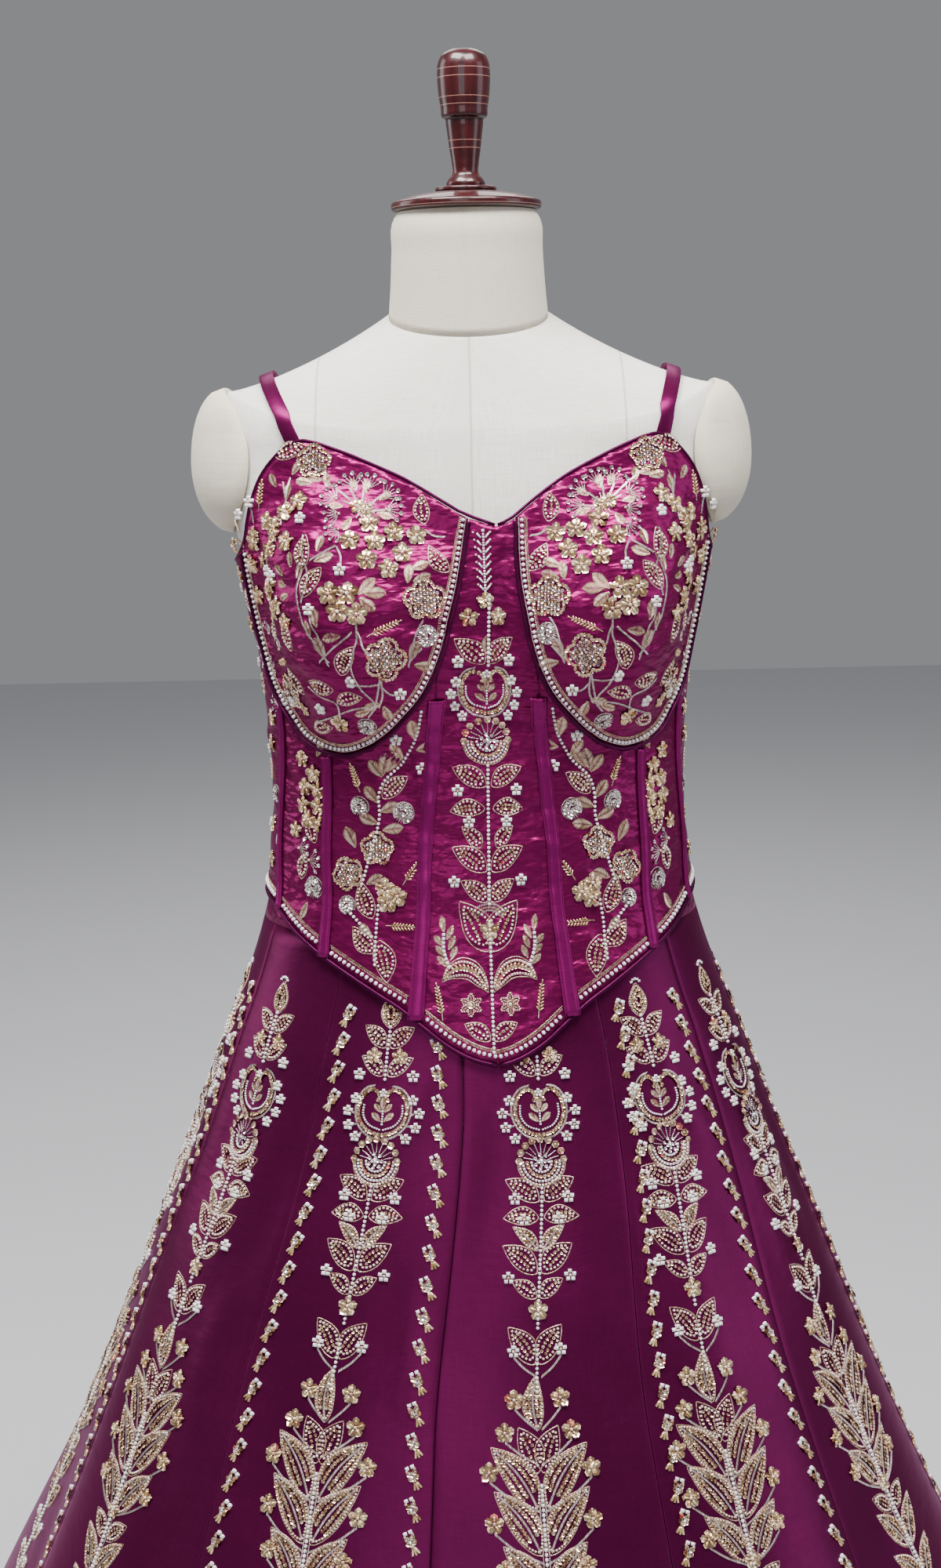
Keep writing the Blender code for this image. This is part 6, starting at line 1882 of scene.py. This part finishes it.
def make_stage():
    floor_finish, tree, shader = new_material("stage_floor")
    shader.inputs["Base Color"].default_value = linear("#D9D9DC")
    shader.inputs["Roughness"].default_value = 0.9
    size = 9.0
    corners = [(-size, -size, 0), (size, -size, 0), (size, size, 0), (-size, size, 0)]
    floor = new_object("floor", corners, [(0, 1, 2, 3)], floor_finish)
    world = bpy.data.worlds.new("studio")
    bpy.context.scene.world = world
    world.use_nodes = True
    background = world.node_tree.nodes["Background"]
    background.inputs["Color"].default_value = linear("#DADBDF")
    background.inputs["Strength"].default_value = 0.36
    area_light("overhead_left", (-0.45, -0.50, 2.70), (-0.05, -0.10, 1.25), 0.9, 0.6, 62, "#FFFFFF")
    area_light("overhead_right", (0.50, -0.75, 2.80), (0.05, -0.10, 1.25), 0.9, 0.6, 54, "#FFFDFA")
    area_light("front", (-0.6, -3.4, 1.9), (0, 0, 1.1), 1.6, 1.6, 20, "#F6F8FF")
    area_light("fill", (2.6, -0.6, 1.7), (0, 0, 1.0), 1.2, 2.2, 20, "#EEF2FF")
    area_light("rim", (-2.6, 0.8, 2.0), (0, 0, 1.1), 1.2, 2.2, 30, "#FFFFFF")
    area_light("floor_wash", (0.0, 3.2, 3.6), (0, 2.4, 0), 3.0, 2.0, 60, "#FFFFFF")
    camera = bpy.data.cameras.new("photograph")
    camera.sensor_fit = "VERTICAL"
    camera.sensor_height = FILM_MM
    camera.lens = LENS_MM
    eye = in_scene("photograph", camera)
    pitch = Matrix.Rotation(math.radians(90 - CAMERA_PITCH), 4, "X")
    roll = Matrix.Rotation(math.radians(-CAMERA_ROLL), 4, "Z")
    eye.matrix_world = Matrix.Translation(CAMERA_PLACE) @ pitch @ roll
    bpy.context.scene.camera = eye


class LehengaSettings(bpy.types.PropertyGroup):
    """Colours of the cloth, the trimmings and the stand."""

    satin: bpy.props.StringProperty(name="Satin", description="The satin's colour where it is lit", default="#6E0F47")
    satin_light: bpy.props.StringProperty(
        name="Satin, light", description="The satin's palest streaks", default="#8A1A5C"
    )
    satin_shadow: bpy.props.StringProperty(
        name="Satin, dark", description="The satin's darkest streaks", default="#540A37"
    )
    satin_roughness: bpy.props.FloatProperty(
        name="Satin roughness", description="How broad the satin's shine is", default=0.30, min=0.2, max=0.8
    )
    piping: bpy.props.StringProperty(name="Piping", description="Colour of the bias piping", default="#420A32")
    canvas: bpy.props.StringProperty(name="Canvas", description="Colour of the form's linen", default="#E0DED6")
    neck_canvas: bpy.props.StringProperty(name="Neck", description="Colour of the neck's linen", default="#D2C8B6")
    wood: bpy.props.StringProperty(name="Wood", description="Colour of the stained wood", default="#3B0A10")
    pearl: bpy.props.StringProperty(name="Pearl", description="Colour of the white beads", default="#F7F5F3")
    sequin: bpy.props.StringProperty(name="Sequin", description="Colour of the gold sequins", default="#C9A27C")
    zari: bpy.props.StringProperty(name="Zari", description="Colour of the copper zari thread", default="#CBAA90")


class LEHENGA_OT_form(bpy.types.Operator):
    """Makes the padded torso, the neck and the two shoulder caps"""

    bl_idname = "lehenga.form"
    bl_label = "Dress form"
    bl_options = {"REGISTER", "UNDO"}

    def execute(self, context):
        make_torso()
        make_neck()
        make_shoulder_cap("_left", -1)
        make_shoulder_cap("_right", 1)
        return {"FINISHED"}


class LEHENGA_OT_wood(bpy.types.Operator):
    """Turns the neck cap, the finial and the base, and gives the pole its steel"""

    bl_idname = "lehenga.wood"
    bl_label = "Finial and stand"
    bl_options = {"REGISTER", "UNDO"}

    def execute(self, context):
        make_wood()
        return {"FINISHED"}


class LEHENGA_OT_choli(bpy.types.Operator):
    """Makes the choli's nine body panels and its two cups"""

    bl_idname = "lehenga.choli"
    bl_label = "Choli panels"
    bl_options = {"REGISTER", "UNDO"}

    def execute(self, context):
        make_choli_panels()
        make_cup("cup_left", -1)
        make_cup("cup_right", 1)
        return {"FINISHED"}


class LEHENGA_OT_bindings(bpy.types.Operator):
    """Makes the pipings, the bone channels and the straps"""

    bl_idname = "lehenga.bindings"
    bl_label = "Pipings, channels and straps"
    bl_options = {"REGISTER", "UNDO"}

    def execute(self, context):
        make_pipings()
        make_channels()
        make_straps()
        return {"FINISHED"}


class LEHENGA_OT_skirt(bpy.types.Operator):
    """Makes the skirt's twelve panels and its waistband"""

    bl_idname = "lehenga.skirt"
    bl_label = "Skirt panels"
    bl_options = {"REGISTER", "UNDO"}

    def execute(self, context):
        make_skirt()
        return {"FINISHED"}


class LEHENGA_OT_choli_work(bpy.types.Operator):
    """Sews the embroidery, beads and braids of the choli"""

    bl_idname = "lehenga.choli_work"
    bl_label = "Choli embroidery"
    bl_options = {"REGISTER", "UNDO"}

    def execute(self, context):
        sew_cup("_left", -1)
        sew_cup("_right", 1)
        sew_corset()
        return {"FINISHED"}


class LEHENGA_OT_skirt_work(bpy.types.Operator):
    """Sews the embroidered columns and the scattered figures of the skirt"""

    bl_idname = "lehenga.skirt_work"
    bl_label = "Skirt embroidery"
    bl_options = {"REGISTER", "UNDO"}

    def execute(self, context):
        for number in range(1, 13):
            sew_column(number)
        return {"FINISHED"}


class LEHENGA_OT_stage(bpy.types.Operator):
    """Sets the plain floor, the soft studio light and the photograph's camera"""

    bl_idname = "lehenga.stage"
    bl_label = "Floor, light and camera"
    bl_options = {"REGISTER", "UNDO"}

    def execute(self, context):
        make_stage()
        return {"FINISHED"}


class LEHENGA_PT_panel(bpy.types.Panel):
    """The steps and settings in the 3-D view's sidebar"""

    bl_label = "Lehenga choli"
    bl_idname = "LEHENGA_PT_panel"
    bl_space_type = "VIEW_3D"
    bl_region_type = "UI"
    bl_category = "Lehenga"

    def draw(self, context):
        for name in LehengaSettings.__annotations__:
            self.layout.prop(context.scene.lehenga, name)
        for step in STEPS:
            self.layout.operator(step.bl_idname)


STEPS = (
    LEHENGA_OT_form,
    LEHENGA_OT_wood,
    LEHENGA_OT_choli,
    LEHENGA_OT_bindings,
    LEHENGA_OT_skirt,
    LEHENGA_OT_choli_work,
    LEHENGA_OT_skirt_work,
    LEHENGA_OT_stage,
)
CLASSES = (LehengaSettings,) + STEPS + (LEHENGA_PT_panel,)


def register():
    for cls in CLASSES:
        bpy.utils.register_class(cls)
    bpy.types.Scene.lehenga = bpy.props.PointerProperty(type=LehengaSettings)


def unregister():
    del bpy.types.Scene.lehenga
    for cls in reversed(CLASSES):
        bpy.utils.unregister_class(cls)


def main():
    register()
    bpy.ops.object.select_all(action="DESELECT")
    bpy.ops.lehenga.form()
    bpy.ops.lehenga.wood()
    bpy.ops.lehenga.choli()
    bpy.ops.lehenga.bindings()
    bpy.ops.lehenga.skirt()
    bpy.ops.lehenga.choli_work()
    bpy.ops.lehenga.skirt_work()
    bpy.ops.lehenga.stage()


if __name__ == "__main__":
    main()
